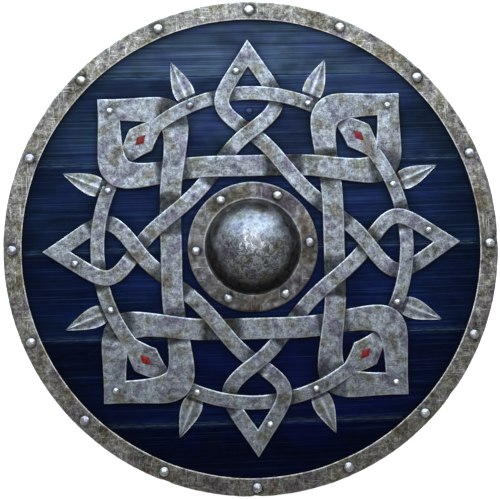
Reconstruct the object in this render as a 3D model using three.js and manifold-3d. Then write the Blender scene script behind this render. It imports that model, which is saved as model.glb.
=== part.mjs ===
import * as THREE from 'three';
import { mergeVertices } from 'three/addons/utils/BufferGeometryUtils.js';
import Module from 'manifold-3d';

const wasm = await Module();
wasm.setup();

// A round shield lies face up on its back battens. Millimetres, +Z up, origin on the ground under the centre.
// The planks run along X, and the battens and the hand grip run along Y across them.

// Body of the shield
const shieldDiameter = 610;
const plankCount = 6;
const plankPitch = 106.6;
const middleSeamShift = -0.7;
const plankThickness = 10;
const seamGap = 0.6;
const seamBevel = 1.1;
const fitGap = 0.3;
const handHoleRadius = 50;

// Battens on the back
const battenThickness = 16;
const sideBattenWidth = 40;
const sideBattenOffset = 140;
const gripBattenWidth = 34;
const battenEndGap = 6;
const battenCornerCut = 9;

// Steel channel around the edge
const rimWidth = 23;
const rimSheet = 1.5;
const rimEdgeBevel = 1.2;
const rimRivetCount = 16;
const rimRivetTurn = -0.6;

// Steel boss over the hand hole
const bossFlangeRadius = 80;
const bossDomeRadius = 57;
const bossHeight = 54;
const bossSheet = 2;
const bossRivetCount = 6;
const bossRivetTurn = 3;
const bossRivetShift = 1;

// Rivets and nails. A head is a low dome, and a shank is square.
const rimRivetHead = 12.6;
const rimRivetHeadHeight = 3.4;
const bossRivetHead = 12.2;
const bossRivetHeadHeight = 3.6;
const rivetShank = 4;
const rivetTail = 9;
const rivetTailHeight = 1.6;
const nailHead = 9;
const nailHeadHeight = 2.8;
const nailShank = 2.6;
const nailGrip = 7;
const nailFromTip = 27;
const nailInset = 2;
const plankNailHead = 8;
const plankNailHeadHeight = 2;
const plankNailRingGap = 9.59;
const plankNailInBatten = 8;

// Pierced and chased interlace on the face
const knotPlate = 2.6;
const knotDip = 1.3;
const knotRamp = 5;
const knotBossGap = 7;
const broadStrapNarrow = 26;
const broadStrapWide = 37;
const slimStrap = 18.5;
const ringStrap = 17;
const cartoucheWidth = 38;
const cartoucheLength = 54;
const leafWidth = 25;
const leafRibDrop = 0.3;
const enamelLength = 24;
const enamelWidth = 14;
const enamelDepth = 1.2;
const enamelCrown = 0.5;

// How far a cutting solid runs past the face that it cuts
const overshoot = 1;

// Smoothness of the round outlines
const roundSteps = 48;
const bossSteps = 32;
const holeSteps = 32;
const headSteps = 8;
const strapTolerance = 1;
const plateTolerance = 0.03;

// Levels and radii that follow from the sizes above
const rimRadius = shieldDiameter / 2;
const rimInnerRadius = rimRadius - rimWidth;
const plankBottom = battenThickness;
const plankTop = plankBottom + plankThickness;
const plankDiscRadius = rimRadius - rimSheet - fitGap;
const rimBack = plankBottom - rimSheet;
const rimFront = plankTop + rimSheet;
const rimRivetRadius = rimRadius - rimWidth / 2;
const bossTop = plankTop + bossSheet;
const bossRivetRadius = (bossFlangeRadius + bossDomeRadius) / 2 + bossRivetShift;
const knotTop = plankTop + knotPlate;

// Colours as they look in soft light
const woodPaint = material(0x1d2a5c, 0.62, 0.05);
const bareWood = material(0x8b6b48, 0.8, 0);
const edgeSteel = material(0x86877f, 0.42, 0.85);
const bossSteel = material(0x7c7e84, 0.38, 0.88);
const chasedSteel = material(0x9a9c99, 0.4, 0.85);
const rivetSteel = material(0xb2b4b2, 0.33, 0.9);
const redEnamel = material(0xa31d22, 0.25, 0);

function material(color, roughness, metalness) {
  return new THREE.MeshStandardMaterial({ color, roughness, metalness });
}

// Solids

function toSolid(geometry) {
  const bare = geometry.index ? geometry.toNonIndexed() : geometry.clone();
  for (const name of Object.keys(bare.attributes)) {
    if (name !== 'position') bare.deleteAttribute(name);
  }
  const merged = mergeVertices(bare, 1e-4);
  const corners = merged.index.array;
  const kept = [];
  for (let i = 0; i < corners.length; i += 3) {
    const [a, b, c] = corners.slice(i, i + 3);
    if (a !== b && b !== c && a !== c) kept.push(a, b, c);
  }
  return new wasm.Manifold(new wasm.Mesh({
    numProp: 3,
    vertProperties: new Float32Array(merged.attributes.position.array),
    triVerts: new Uint32Array(kept),
  }));
}

function toGeometry(solid) {
  const mesh = solid.getMesh();
  const geometry = new THREE.BufferGeometry();
  geometry.setAttribute('position', new THREE.BufferAttribute(new Float32Array(mesh.vertProperties), 3));
  geometry.setIndex(new THREE.BufferAttribute(new Uint32Array(mesh.triVerts), 1));
  geometry.computeVertexNormals();
  return geometry;
}

function joined(solids) {
  return solids.reduce((whole, next) => whole.add(next));
}

// A disc or a regular prism that stands on the level z
function prism(radius, z, height, steps, turn = 0) {
  const geometry = new THREE.CylinderGeometry(radius, radius, height, steps);
  geometry.rotateX(Math.PI / 2);
  geometry.rotateZ(turn);
  geometry.translate(0, 0, z + height / 2);
  return toSolid(geometry);
}

// A profile of [radius, level] pairs turned around the Z axis
function turned(profile, steps) {
  const points = profile.map(([radius, level]) => new THREE.Vector2(radius, level));
  const geometry = new THREE.LatheGeometry(points, steps);
  geometry.rotateX(Math.PI / 2);
  return toSolid(geometry);
}

// An outline of [x, y] pairs raised from the level z
function raised(outline, z, height) {
  const shape = new THREE.Shape(outline.map(([x, y]) => new THREE.Vector2(x, y)));
  const geometry = new THREE.ExtrudeGeometry(shape, { depth: height, bevelEnabled: false });
  geometry.translate(0, 0, z);
  return toSolid(geometry);
}

function squarePeg(place, side, low, high) {
  const geometry = new THREE.BoxGeometry(side, side, high - low);
  geometry.rotateZ(place.turn);
  geometry.translate(place.x, place.y, (low + high) / 2);
  return toSolid(geometry);
}

// Places on a circle, each turned to face outwards

function aroundCircle(radius, count, firstDegrees) {
  return Array.from({ length: count }, (_, k) => {
    const angle = THREE.MathUtils.degToRad(firstDegrees + k * 360 / count);
    return { x: radius * Math.cos(angle), y: radius * Math.sin(angle), turn: angle };
  });
}

// The interlace is three closed bands: a broad looped square, a slim one turned by 45 degrees, and a ring.
// Its curves are shares of the span between the boss flange and the rim.

const knotSpan = rimInnerRadius - bossFlangeRadius;
const shareOfSpan = (share) => share * knotSpan;
const radiusAt = (share) => bossFlangeRadius + shareOfSpan(share);
const ringRadius = radiusAt(0.545);
const leafTipShare = 0.84;

const broadSquare = {
  sideRadius: bossFlangeRadius + knotBossGap + broadStrapNarrow / 2,
  crossRadius: radiusAt(0.277),
  crossAngle: 54,
  crossPull: shareOfSpan(0.416),
  tipRadius: radiusAt(0.812),
  tipAngle: 44,
  tipPull: shareOfSpan(0.396),
  turn: 0,
  widthAt(share) {
    const swelling = Math.exp(-(((share - 0.66) / 0.2) ** 2));
    return broadStrapNarrow + (broadStrapWide - broadStrapNarrow) * swelling;
  },
};

const slimSquare = {
  sideRadius: bossFlangeRadius + knotBossGap + slimStrap / 2,
  crossRadius: radiusAt(0.307),
  crossAngle: 55,
  crossPull: shareOfSpan(0.307),
  tipRadius: radiusAt(0.792),
  tipAngle: 33,
  tipPull: shareOfSpan(0.347),
  turn: Math.PI / 4,
  widthAt: () => slimStrap,
};

// One eighth of a looped square, from the middle of a side out to the point of a loop
function halfLoop(square) {
  const diagonal = Math.PI / 4;
  const crossAngle = diagonal - THREE.MathUtils.degToRad(square.crossAngle);
  const tipAngle = diagonal + Math.PI + THREE.MathUtils.degToRad(square.tipAngle);
  const start = new THREE.Vector2(0, square.sideRadius);
  const cross = new THREE.Vector2(1, 1).setLength(square.crossRadius);
  const tip = new THREE.Vector2(1, 1).setLength(square.tipRadius);
  const heading = new THREE.Vector2(Math.cos(crossAngle), Math.sin(crossAngle));
  const pull = cross.distanceTo(start) * 0.36;
  const side = new THREE.CubicBezierCurve(
    start,
    start.clone().add(new THREE.Vector2(pull, 0)),
    cross.clone().addScaledVector(heading, -pull),
    cross,
  );
  const loop = new THREE.CubicBezierCurve(
    cross,
    cross.clone().addScaledVector(heading, square.crossPull),
    tip.clone().add(new THREE.Vector2(Math.cos(tipAngle), Math.sin(tipAngle)).multiplyScalar(square.tipPull)),
    tip,
  );
  return [...side.getPoints(13), ...loop.getPoints(27).slice(1)];
}

// A closed band is a list of points, each with its width
function loopedSquare(square) {
  const eighth = halfLoop(square).map((point, k, all) => (
    { point, width: square.widthAt(k / (all.length - 1)) }
  ));
  const mirrored = eighth.slice(1, -1).reverse().map(({ point, width }) => (
    { point: new THREE.Vector2(point.y, point.x), width }
  ));
  const band = [];
  for (let quarter = 0; quarter < 4; quarter += 1) {
    for (const { point, width } of [...eighth, ...mirrored]) {
      const turned = point.clone().rotateAround(new THREE.Vector2(), square.turn - quarter * Math.PI / 2);
      band.push({ point: turned, width });
    }
  }
  return band;
}

function ring() {
  const steps = 240;
  const halfLength = cartoucheLength / 2;
  return Array.from({ length: steps }, (_, k) => {
    const angle = k * 2 * Math.PI / steps;
    const toDiagonal = Math.abs((angle % (Math.PI / 2)) - Math.PI / 4) * ringRadius;
    const swelling = Math.max(0, 1 - toDiagonal / halfLength);
    return {
      point: new THREE.Vector2(Math.cos(angle), Math.sin(angle)).multiplyScalar(ringRadius),
      width: ringStrap + (cartoucheWidth - ringStrap) * swelling,
    };
  });
}

// Adds to each point of a closed band its two edge points and its distance along the band
function withEdges(band) {
  let travelled = 0;
  const edged = band.map(({ point, width }, k) => {
    const before = band.at(k - 1).point;
    const after = band[(k + 1) % band.length].point;
    const into = point.clone().sub(before).normalize();
    const out = after.clone().sub(point).normalize();
    const along = into.clone().add(out).normalize();
    const across = new THREE.Vector2(-along.y, along.x).multiplyScalar(width / 2 / along.dot(out));
    if (k > 0) travelled += point.distanceTo(before);
    const left = point.clone().add(across);
    const right = point.clone().sub(across);
    return { point, along, width, travelled, left, right, pointed: into.dot(out) < 0.8 };
  });
  edged.filter(({ pointed }) => pointed).forEach((corner) => keepInside(edged, corner));
  return edged;
}

// Near a pointed corner the inner edge would cross the corner's middle line, so it stops on it
function keepInside(band, corner) {
  const length = bandLength(band);
  for (const entry of band) {
    const after = (entry.travelled - corner.travelled + length) % length;
    const near = Math.min(after, length - after) < corner.width * 1.5;
    if (entry === corner || !near) continue;
    for (const side of ['left', 'right']) {
      const beyond = entry[side].clone().sub(corner.point).dot(corner.along);
      if (after < length / 2 ? beyond < 0 : beyond > 0) entry[side].copy(corner[side]);
    }
  }
}

function bandLength(band) {
  return band.at(-1).travelled + band.at(-1).point.distanceTo(band[0].point);
}

// Where two stretches of band cross, as shares of both stretches, or null
function meeting(a, b, c, d) {
  const first = b.clone().sub(a);
  const second = d.clone().sub(c);
  const turn = first.cross(second);
  if (Math.abs(turn) < 1e-9) return null;
  const gap = c.clone().sub(a);
  const share = gap.cross(second) / turn;
  const otherShare = gap.cross(first) / turn;
  const slack = 1e-6;
  const inside = Math.min(share, otherShare) > -slack && Math.max(share, otherShare) < 1 + slack;
  return inside ? { share, otherShare } : null;
}

// Every crossing of the bands, as two visits that know each other
function crossings(bands) {
  const found = [];
  const visit = (band, k, share) => {
    const next = band[(k + 1) % band.length];
    const step = band[k].point.distanceTo(next.point);
    return { band, along: next.point.clone().sub(band[k].point).normalize(), width: band[k].width,
      travelled: band[k].travelled + share * step, point: band[k].point.clone().lerp(next.point, share) };
  };
  bands.forEach((one, i) => bands.slice(i).forEach((other) => {
    for (let k = 0; k < one.length; k += 1) {
      const firstOther = one === other ? k + 2 : 0;
      for (let m = firstOther; m < other.length; m += 1) {
        if (one === other && k === 0 && m === other.length - 1) continue;
        const hit = meeting(one[k].point, one[(k + 1) % one.length].point,
          other[m].point, other[(m + 1) % other.length].point);
        if (!hit) continue;
        const pair = [visit(one, k, hit.share), visit(other, m, hit.otherShare)];
        const known = found.some((old) => old[0].point.distanceTo(pair[0].point) < 1);
        if (!known) found.push(pair);
      }
    }
  }));
  for (const [a, b] of found) {
    a.other = b;
    b.other = a;
  }
  return found;
}

// Each band goes over and under in turn, and of the two visits of a crossing one is over
function weave(pairs) {
  const visits = pairs.flat();
  const neighbours = new Map(visits.map((visit) => [visit, []]));
  for (const band of new Set(visits.map((visit) => visit.band))) {
    const onBand = visits.filter((visit) => visit.band === band).sort((a, b) => a.travelled - b.travelled);
    onBand.forEach((visit, k) => {
      const next = onBand[(k + 1) % onBand.length];
      neighbours.get(visit).push(next);
      neighbours.get(next).push(visit);
    });
  }
  const waiting = [visits[0]];
  visits[0].over = true;
  while (waiting.length > 0) {
    const visit = waiting.pop();
    for (const next of [visit.other, ...neighbours.get(visit)]) {
      if (next.over === undefined) {
        next.over = !visit.over;
        waiting.push(next);
      }
    }
  }
  return visits;
}

// How far a band stays low on each side of a crossing that it goes under
function lowHalfLength(visit) {
  const sine = Math.abs(visit.along.cross(visit.other.along));
  const cosine = Math.abs(visit.along.dot(visit.other.along));
  return (visit.other.width / 2 + cosine * visit.width / 2) / sine + fitGap;
}

function distanceAlong(band, a, b) {
  const length = bandLength(band);
  const direct = Math.abs(a - b) % length;
  return Math.min(direct, length - direct);
}

function topLevel(band, travelled, unders) {
  const dips = unders.map((visit) => {
    const beyond = distanceAlong(band, travelled, visit.travelled) - lowHalfLength(visit);
    return THREE.MathUtils.clamp(1 - beyond / knotRamp, 0, 1);
  });
  return knotTop - knotDip * Math.max(0, ...dips);
}

// The band's cross-section at a distance along it
function sectionAt(band, travelled, unders) {
  const length = bandLength(band);
  const place = ((travelled % length) + length) % length;
  const k = band.findLastIndex((entry) => entry.travelled <= place);
  const next = band[(k + 1) % band.length];
  const share = (place - band[k].travelled) / band[k].point.distanceTo(next.point);
  return {
    travelled,
    left: band[k].left.clone().lerp(next.left, share),
    right: band[k].right.clone().lerp(next.right, share),
    top: topLevel(band, place, unders),
  };
}

// Drops the cross-sections that lie on the straight line between their neighbours
function thinned(sections) {
  const first = sections[0];
  const last = sections.at(-1);
  let worst = 0;
  let worstAt = -1;
  sections.forEach((section, k) => {
    const share = (section.travelled - first.travelled) / (last.travelled - first.travelled);
    const off = Math.max(
      section.left.distanceTo(first.left.clone().lerp(last.left, share)),
      section.right.distanceTo(first.right.clone().lerp(last.right, share)),
      Math.abs(section.top - THREE.MathUtils.lerp(first.top, last.top, share)) * 3,
    );
    if (off > worst) {
      worst = off;
      worstAt = k;
    }
  });
  if (worst < strapTolerance) return [first, last];
  return [...thinned(sections.slice(0, worstAt + 1)), ...thinned(sections.slice(worstAt)).slice(1)];
}

// A closed strip from cross-sections, flat below and as high as each section's top
function strip(sections) {
  const positions = sections.flatMap(({ left, right, top }) => [
    left.x, left.y, plankTop, right.x, right.y, plankTop, right.x, right.y, top, left.x, left.y, top,
  ]);
  const faces = [];
  const quad = (a, b, c, d) => faces.push(a, c, b, a, d, c);
  for (let k = 0; k + 1 < sections.length; k += 1) {
    const near = 4 * k;
    const far = near + 4;
    for (let side = 0; side < 4; side += 1) {
      const next = (side + 1) % 4;
      quad(near + side, near + next, far + next, far + side);
    }
  }
  const end = 4 * (sections.length - 1);
  quad(3, 2, 1, 0);
  quad(end, end + 1, end + 2, end + 3);
  const geometry = new THREE.BufferGeometry();
  geometry.setAttribute('position', new THREE.Float32BufferAttribute(positions, 3));
  geometry.setIndex(faces);
  return toSolid(geometry);
}

// A band as strips, each from the middle of one low crossing to the middle of the next
function bandStrips(band, unders) {
  const length = bandLength(band);
  const sorted = [...unders].sort((a, b) => a.travelled - b.travelled);
  return sorted.map((visit, k) => {
    const from = visit.travelled;
    const to = k + 1 < sorted.length ? sorted[k + 1].travelled : sorted[0].travelled + length;
    const between = [...band, ...band.map((entry) => ({ ...entry, travelled: entry.travelled + length }))]
      .map((entry) => entry.travelled);
    const bends = [visit, sorted[(k + 1) % sorted.length]].flatMap((low) => {
      const centre = low === visit ? from : to;
      const flat = lowHalfLength(low);
      return [centre - flat - knotRamp, centre - flat, centre + flat, centre + flat + knotRamp];
    });
    const stops = [...new Set([from, ...between, ...bends, to])]
      .filter((stop) => stop >= from && stop <= to).sort((a, b) => a - b);
    return strip(thinned(stops.map((stop) => sectionAt(band, stop, unders))));
  });
}

// A pointed leaf that grows out of the ring, with a raised midrib
function leaf(turn) {
  const length = radiusAt(leafTipShare) - ringRadius;
  const root = ringStrap / 4 / length;
  const edgeTop = knotTop - knotDip;
  const steps = 4;
  const positions = [];
  for (let k = 0; k <= steps; k += 1) {
    const share = THREE.MathUtils.lerp(root, 1, k / steps);
    const x = ringRadius + share * length;
    const y = k < steps ? leafWidth / 2 * Math.sin(Math.PI * share ** 0.62) : 0;
    const ribTop = k < steps ? knotTop - leafRibDrop : edgeTop;
    positions.push(x, y, plankTop, x, -y, plankTop, x, -y, edgeTop, x, 0, ribTop, x, y, edgeTop);
  }
  const faces = [];
  const quad = (a, b, c, d) => faces.push(a, c, b, a, d, c);
  for (let k = 0; k < steps; k += 1) {
    const near = 5 * k;
    const far = near + 5;
    for (let side = 0; side < 5; side += 1) {
      const next = (side + 1) % 5;
      quad(near + side, near + next, far + next, far + side);
    }
  }
  faces.push(0, 3, 4, 0, 2, 3, 0, 1, 2);
  const geometry = new THREE.BufferGeometry();
  geometry.setAttribute('position', new THREE.Float32BufferAttribute(positions, 3));
  geometry.setIndex(faces);
  geometry.rotateZ(turn);
  return toSolid(geometry);
}

// Pieces

const rimPlaces = aroundCircle(rimRivetRadius, rimRivetCount, rimRivetTurn);
const bossPlaces = aroundCircle(bossRivetRadius, bossRivetCount, bossRivetTurn);
const leafPlaces = aroundCircle(ringRadius, 8, 22.5);
const cartouchePlaces = aroundCircle(ringRadius, 4, 45);
const bands = [loopedSquare(broadSquare), loopedSquare(slimSquare), ring()].map(withEdges);
const visits = weave(crossings(bands));

// One nail near the point of each slim loop, on one limb so that it stays clear of a plank seam
function slimLoopPlaces() {
  const band = bands[1];
  const tips = band.filter(({ point }) => point.length() > slimSquare.tipRadius - 0.01);
  return tips.map((tip) => {
    const { left, right } = sectionAt(band, tip.travelled + nailFromTip, []);
    const centre = left.lerp(right, 0.5);
    return { x: centre.x, y: centre.y, turn: centre.angle() };
  });
}

const nailPlaces = [
  ...aroundCircle(broadSquare.tipRadius - nailInset, 4, 45),
  ...slimLoopPlaces(),
  ...leafPlaces,
];

// The plank nail stands inside a loop of the slim band, a set gap within the ring
const plankNailRadius = ringRadius - ringStrap / 2 - plankNailRingGap - plankNailHead / 2;
const plankNailPlace = { x: 0, y: plankNailRadius, turn: Math.PI / 2 };

function throughHoles(places, shank) {
  return places.map((place) => squarePeg(place, shank + 2 * fitGap, 0, bossTop + overshoot));
}

function nailHoles(bottom) {
  return nailPlaces.map((place) => squarePeg(place, nailShank + 2 * fitGap, bottom, knotTop + overshoot));
}

// The hole that the plank nail fills in a plank and in the batten behind it
function plankNailHole() {
  const bottom = plankBottom - plankNailInBatten - fitGap;
  return squarePeg(plankNailPlace, nailShank + 2 * fitGap, bottom, plankTop + overshoot);
}

function planks() {
  const seam = (k) => middleSeamShift + (k - plankCount / 2) * plankPitch;
  const disc = prism(plankDiscRadius, plankBottom, plankThickness, roundSteps);
  const cuts = joined([
    prism(handHoleRadius, 0, plankTop + overshoot, holeSteps),
    ...throughHoles([...rimPlaces, ...bossPlaces], rivetShank),
    ...nailHoles(plankTop - nailGrip - fitGap),
    plankNailHole(),
  ]);
  const drilled = disc.subtract(cuts);
  return Array.from({ length: plankCount }, (_, k) => {
    const low = k === 0 ? -shieldDiameter : seam(k) + seamGap / 2;
    const high = k === plankCount - 1 ? shieldDiameter : seam(k + 1) - seamGap / 2;
    const shape = new THREE.Shape([
      [low, plankBottom], [high, plankBottom], [high, plankTop - seamBevel],
      [high - seamBevel, plankTop], [low + seamBevel, plankTop], [low, plankTop - seamBevel],
    ].map(([y, z]) => new THREE.Vector2(y, z)));
    const board = new THREE.ExtrudeGeometry(shape, { depth: shieldDiameter, bevelEnabled: false });
    const alongX = new THREE.Matrix4().makeBasis(
      new THREE.Vector3(0, 1, 0), new THREE.Vector3(0, 0, 1), new THREE.Vector3(1, 0, 0),
    );
    board.applyMatrix4(alongX).translate(-shieldDiameter / 2, 0, 0);
    return drilled.intersect(toSolid(board));
  });
}

function rim() {
  const wall = rimRadius - rimSheet;
  const channel = turned([
    [rimInnerRadius, rimBack], [rimRadius - rimEdgeBevel, rimBack], [rimRadius, rimBack + rimEdgeBevel],
    [rimRadius, rimFront - rimEdgeBevel], [rimRadius - rimEdgeBevel, rimFront], [rimInnerRadius, rimFront],
    [rimInnerRadius, plankTop], [wall, plankTop], [wall, plankBottom], [rimInnerRadius, plankBottom],
    [rimInnerRadius, rimBack],
  ], roundSteps);
  return channel.subtract(joined(throughHoles(rimPlaces, rivetShank)));
}

function boss() {
  const quarter = (radius, height, steps) => Array.from({ length: steps + 1 }, (_, k) => {
    const angle = Math.PI / 2 * k / steps;
    return [k === 0 ? 0 : radius * Math.sin(angle), bossTop + height * Math.cos(angle)];
  });
  const outerRise = plankTop + bossHeight - bossTop;
  const outside = quarter(bossDomeRadius, outerRise, 8);
  const inside = quarter(bossDomeRadius - bossSheet, outerRise - bossSheet, 5);
  const shell = turned([
    ...inside, [bossDomeRadius - bossSheet, plankTop], [bossFlangeRadius, plankTop],
    [bossFlangeRadius, bossTop], ...outside.reverse(),
  ], bossSteps);
  return shell.subtract(joined(throughHoles(bossPlaces, rivetShank)));
}

function knot() {
  const strips = bands.flatMap((band) => bandStrips(band, visits.filter((v) => v.band === band && !v.over)));
  const leaves = leafPlaces.map(({ turn }) => leaf(turn));
  const recesses = cartouchePlaces.map((place) => lozenge(
    place, enamelLength + 2 * fitGap, enamelWidth + 2 * fitGap, knotTop - enamelDepth, knotTop + overshoot,
  ));
  const plate = joined([...strips, ...leaves]).asOriginal().simplify(plateTolerance);
  return plate.subtract(joined([...recesses, ...nailHoles(plankTop - overshoot)]));
}

function lozenge(place, length, width, low, high) {
  const geometry = new THREE.CylinderGeometry(1, 1, high - low, 4);
  geometry.rotateX(Math.PI / 2);
  geometry.scale(width / 2, length / 2, 1);
  geometry.rotateZ(place.turn);
  geometry.translate(place.x, place.y, (low + high) / 2);
  return toSolid(geometry);
}

function enamelStud(place) {
  const crown = new THREE.ConeGeometry(1, enamelCrown, 4);
  crown.rotateX(Math.PI / 2);
  crown.scale(enamelWidth / 2, enamelLength / 2, 1);
  crown.rotateZ(place.turn);
  crown.translate(place.x, place.y, knotTop + enamelCrown / 2);
  return lozenge(place, enamelLength, enamelWidth, knotTop - enamelDepth, knotTop).add(toSolid(crown));
}

function domedHead(place, width, height, seat) {
  const radius = width / 2;
  const head = turned([
    [0, seat], [radius, seat], [radius * 0.7, seat + height * 0.72], [0, seat + height],
  ], headSteps);
  return head.translate([place.x, place.y, 0]);
}

function rivet(place, width, height, seat, tailSeat) {
  const head = domedHead(place, width, height, seat);
  const shank = squarePeg(place, rivetShank, tailSeat, seat);
  const tail = squarePeg(place, rivetTail, tailSeat - rivetTailHeight, tailSeat);
  return joined([head, shank, tail]);
}

function nail(place, width, height, seat, tip) {
  return domedHead(place, width, height, seat).add(squarePeg(place, nailShank, tip, seat));
}

// Half the length of a batten whose corner stays inside the rim
function battenHalfLength(farEdge) {
  return Math.sqrt(rimInnerRadius ** 2 - farEdge ** 2) - battenEndGap;
}

// A straight batten with its end corners cut off
function batten(offset, width) {
  const half = width / 2;
  const end = battenHalfLength(Math.abs(offset) + half);
  const cut = battenCornerCut;
  const outline = [
    [-half, cut - end], [cut - half, -end], [half - cut, -end], [half, cut - end],
    [half, end - cut], [half - cut, end], [cut - half, end], [-half, end - cut],
  ];
  return raised(outline.map(([x, y]) => [x + offset, y]), 0, battenThickness);
}

// The shield

const shield = new THREE.Group();

function addMesh(name, solid, look) {
  const mesh = new THREE.Mesh(toGeometry(solid), look);
  mesh.name = name;
  shield.add(mesh);
}

planks().forEach((solid, k) => addMesh(`plank_${k + 1}`, solid, woodPaint));
addMesh('rim', rim(), edgeSteel);
addMesh('boss', boss(), bossSteel);
addMesh('knot', knot(), chasedSteel);
addMesh('grip_batten', batten(0, gripBattenWidth).subtract(plankNailHole()), bareWood);
addMesh('side_batten_left', batten(-sideBattenOffset, sideBattenWidth), bareWood);
addMesh('side_batten_right', batten(sideBattenOffset, sideBattenWidth), bareWood);
cartouchePlaces.forEach((place, k) => addMesh(`enamel_${k + 1}`, enamelStud(place), redEnamel));
rimPlaces.forEach((place, k) => {
  const solid = rivet(place, rimRivetHead, rimRivetHeadHeight, rimFront, rimBack);
  addMesh(`rim_rivet_${k + 1}`, solid, rivetSteel);
});
bossPlaces.forEach((place, k) => {
  const solid = rivet(place, bossRivetHead, bossRivetHeadHeight, bossTop, plankBottom);
  addMesh(`boss_rivet_${k + 1}`, solid, rivetSteel);
});
nailPlaces.forEach((place, k) => {
  const solid = nail(place, nailHead, nailHeadHeight, knotTop, plankTop - nailGrip);
  addMesh(`knot_nail_${k + 1}`, solid, rivetSteel);
});
const plankNail = nail(
  plankNailPlace, plankNailHead, plankNailHeadHeight, plankTop, plankBottom - plankNailInBatten,
);
addMesh('plank_nail', plankNail, woodPaint);

export default shield;
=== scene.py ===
import math

import bmesh
import bpy
import numpy as np
from mathutils import Matrix, Vector, noise


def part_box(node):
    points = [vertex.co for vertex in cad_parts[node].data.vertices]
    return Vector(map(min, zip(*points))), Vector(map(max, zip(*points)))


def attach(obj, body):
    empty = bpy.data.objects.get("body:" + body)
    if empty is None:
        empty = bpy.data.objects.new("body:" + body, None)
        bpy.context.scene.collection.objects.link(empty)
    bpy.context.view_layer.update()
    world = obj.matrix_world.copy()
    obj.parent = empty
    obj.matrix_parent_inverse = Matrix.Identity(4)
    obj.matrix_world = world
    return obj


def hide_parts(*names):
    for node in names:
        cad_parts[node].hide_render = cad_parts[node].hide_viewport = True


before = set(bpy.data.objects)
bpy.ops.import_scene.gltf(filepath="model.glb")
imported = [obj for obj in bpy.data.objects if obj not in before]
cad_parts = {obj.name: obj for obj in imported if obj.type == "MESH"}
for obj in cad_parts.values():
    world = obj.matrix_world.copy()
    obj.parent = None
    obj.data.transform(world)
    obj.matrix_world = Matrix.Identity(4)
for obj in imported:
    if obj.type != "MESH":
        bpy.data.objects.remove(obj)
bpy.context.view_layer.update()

# Sizes in metres. The planks run along X, and the face looks up.
MM = 0.001
SHIELD_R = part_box("rim")[1].x
RIM_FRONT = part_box("rim")[1].z
RIM_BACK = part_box("rim")[0].z
RIM_WIDTH = 23 * MM
RIM_SHEET = 1.5 * MM
RIM_INNER_R = SHIELD_R - RIM_WIDTH
PLANK_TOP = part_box("plank_3")[1].z
PLANK_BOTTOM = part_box("plank_3")[0].z
PLANK_R = SHIELD_R - RIM_SHEET - 0.3 * MM
PLANK_COUNT = 6
PLANK_PITCH = 106.6 * MM
MIDDLE_SEAM = -0.7 * MM
SEAM_GAP = 0.6 * MM
PLANK_WITH_NAIL = 5
HAND_HOLE_R = 50 * MM
BOSS_FLANGE_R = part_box("boss")[1].x
BOSS_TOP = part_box("boss")[1].z
BOSS_SHEET = 2 * MM
BOSS_DOME_R = 57 * MM
FLANGE_TOP = PLANK_TOP + BOSS_SHEET
KNOT_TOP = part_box("knot")[1].z
KNOT_DIP = 1.3 * MM
KNOT_RAMP = 5 * MM
RIM_RIVETS = [f"rim_rivet_{k}" for k in range(1, 17)]
BOSS_RIVETS = [f"boss_rivet_{k}" for k in range(1, 7)]
KNOT_NAILS = [f"knot_nail_{k}" for k in range(1, 17)]
ENAMELS = [f"enamel_{k}" for k in range(1, 5)]
BATTENS = ("grip_batten", "side_batten_left", "side_batten_right")


def centre_of(name):
    low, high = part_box(name)
    return (low + high) / 2


# Camera, at the photograph's angle: almost square to the face, which is turned a little anticlockwise
PHOTO_WIDTH = 500
CAMERA_DISTANCE = 1.1
CAMERA_ASIDE_ANGLE = math.radians(2.0)
FACE_TURN = math.radians(1.6)
SHIELD_SPAN_PX = 497
FRAMING_OFFSET = Vector((-3.7 * MM, -3.2 * MM, 0))


def add_camera():
    target = Vector((0, 0, PLANK_TOP)) + FRAMING_OFFSET
    aside = CAMERA_DISTANCE * math.tan(CAMERA_ASIDE_ANGLE)
    place = target + Vector((-aside, -aside, CAMERA_DISTANCE))
    data = bpy.data.cameras.new("camera")
    data.sensor_width = 36
    data.lens = data.sensor_width * SHIELD_SPAN_PX / PHOTO_WIDTH * CAMERA_DISTANCE / (2 * SHIELD_R)
    camera = bpy.data.objects.new("camera", data)
    view = (target - place).normalized()
    up = Matrix.Rotation(-FACE_TURN, 3, "Z") @ Vector((0, 1, 0))
    right = view.cross(up).normalized()
    up = right.cross(view)
    camera.matrix_world = Matrix.Translation(place) @ Matrix((right, up, -view)).transposed().to_4x4()
    bpy.context.collection.objects.link(camera)
    bpy.context.scene.camera = camera


# Materials


def colour(hex_code):
    channels = [int(hex_code[i : i + 2], 16) / 255 for i in (1, 3, 5)]
    linear = [c / 12.92 if c <= 0.04045 else ((c + 0.055) / 1.055) ** 2.4 for c in channels]
    return (*linear, 1)


def node(tree, kind, inputs=(), output=0, stops=(), **settings):
    """Adds a node with its settings and links, and returns one of its outputs. Inputs go by name, or by
    number where names repeat: a Math node has its values at 0, 1 and 2, a Mix node its share at 0, its
    numbers at 2 and 3 and its colours at 6 and 7, and a Map Range node its value at 0, the range that it
    comes from at 1 and 2, and the range that it goes to at 3 and 4. Only a colour ramp has stops."""
    made = tree.nodes.new(kind)
    for key, value in settings.items():
        setattr(made, key, value)
    for key, value in dict(inputs).items():
        for source in value if isinstance(value, list) else [value]:
            if isinstance(source, bpy.types.NodeSocket):
                tree.links.new(source, made.inputs[key])
            else:
                made.inputs[key].default_value = source
    for k, (place, tone) in enumerate(stops):
        elements = made.color_ramp.elements
        element = elements[k] if k < len(elements) else elements.new(place)
        element.position = place
        element.color = colour(tone)
    return made.outputs[output] if made.outputs else made


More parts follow.
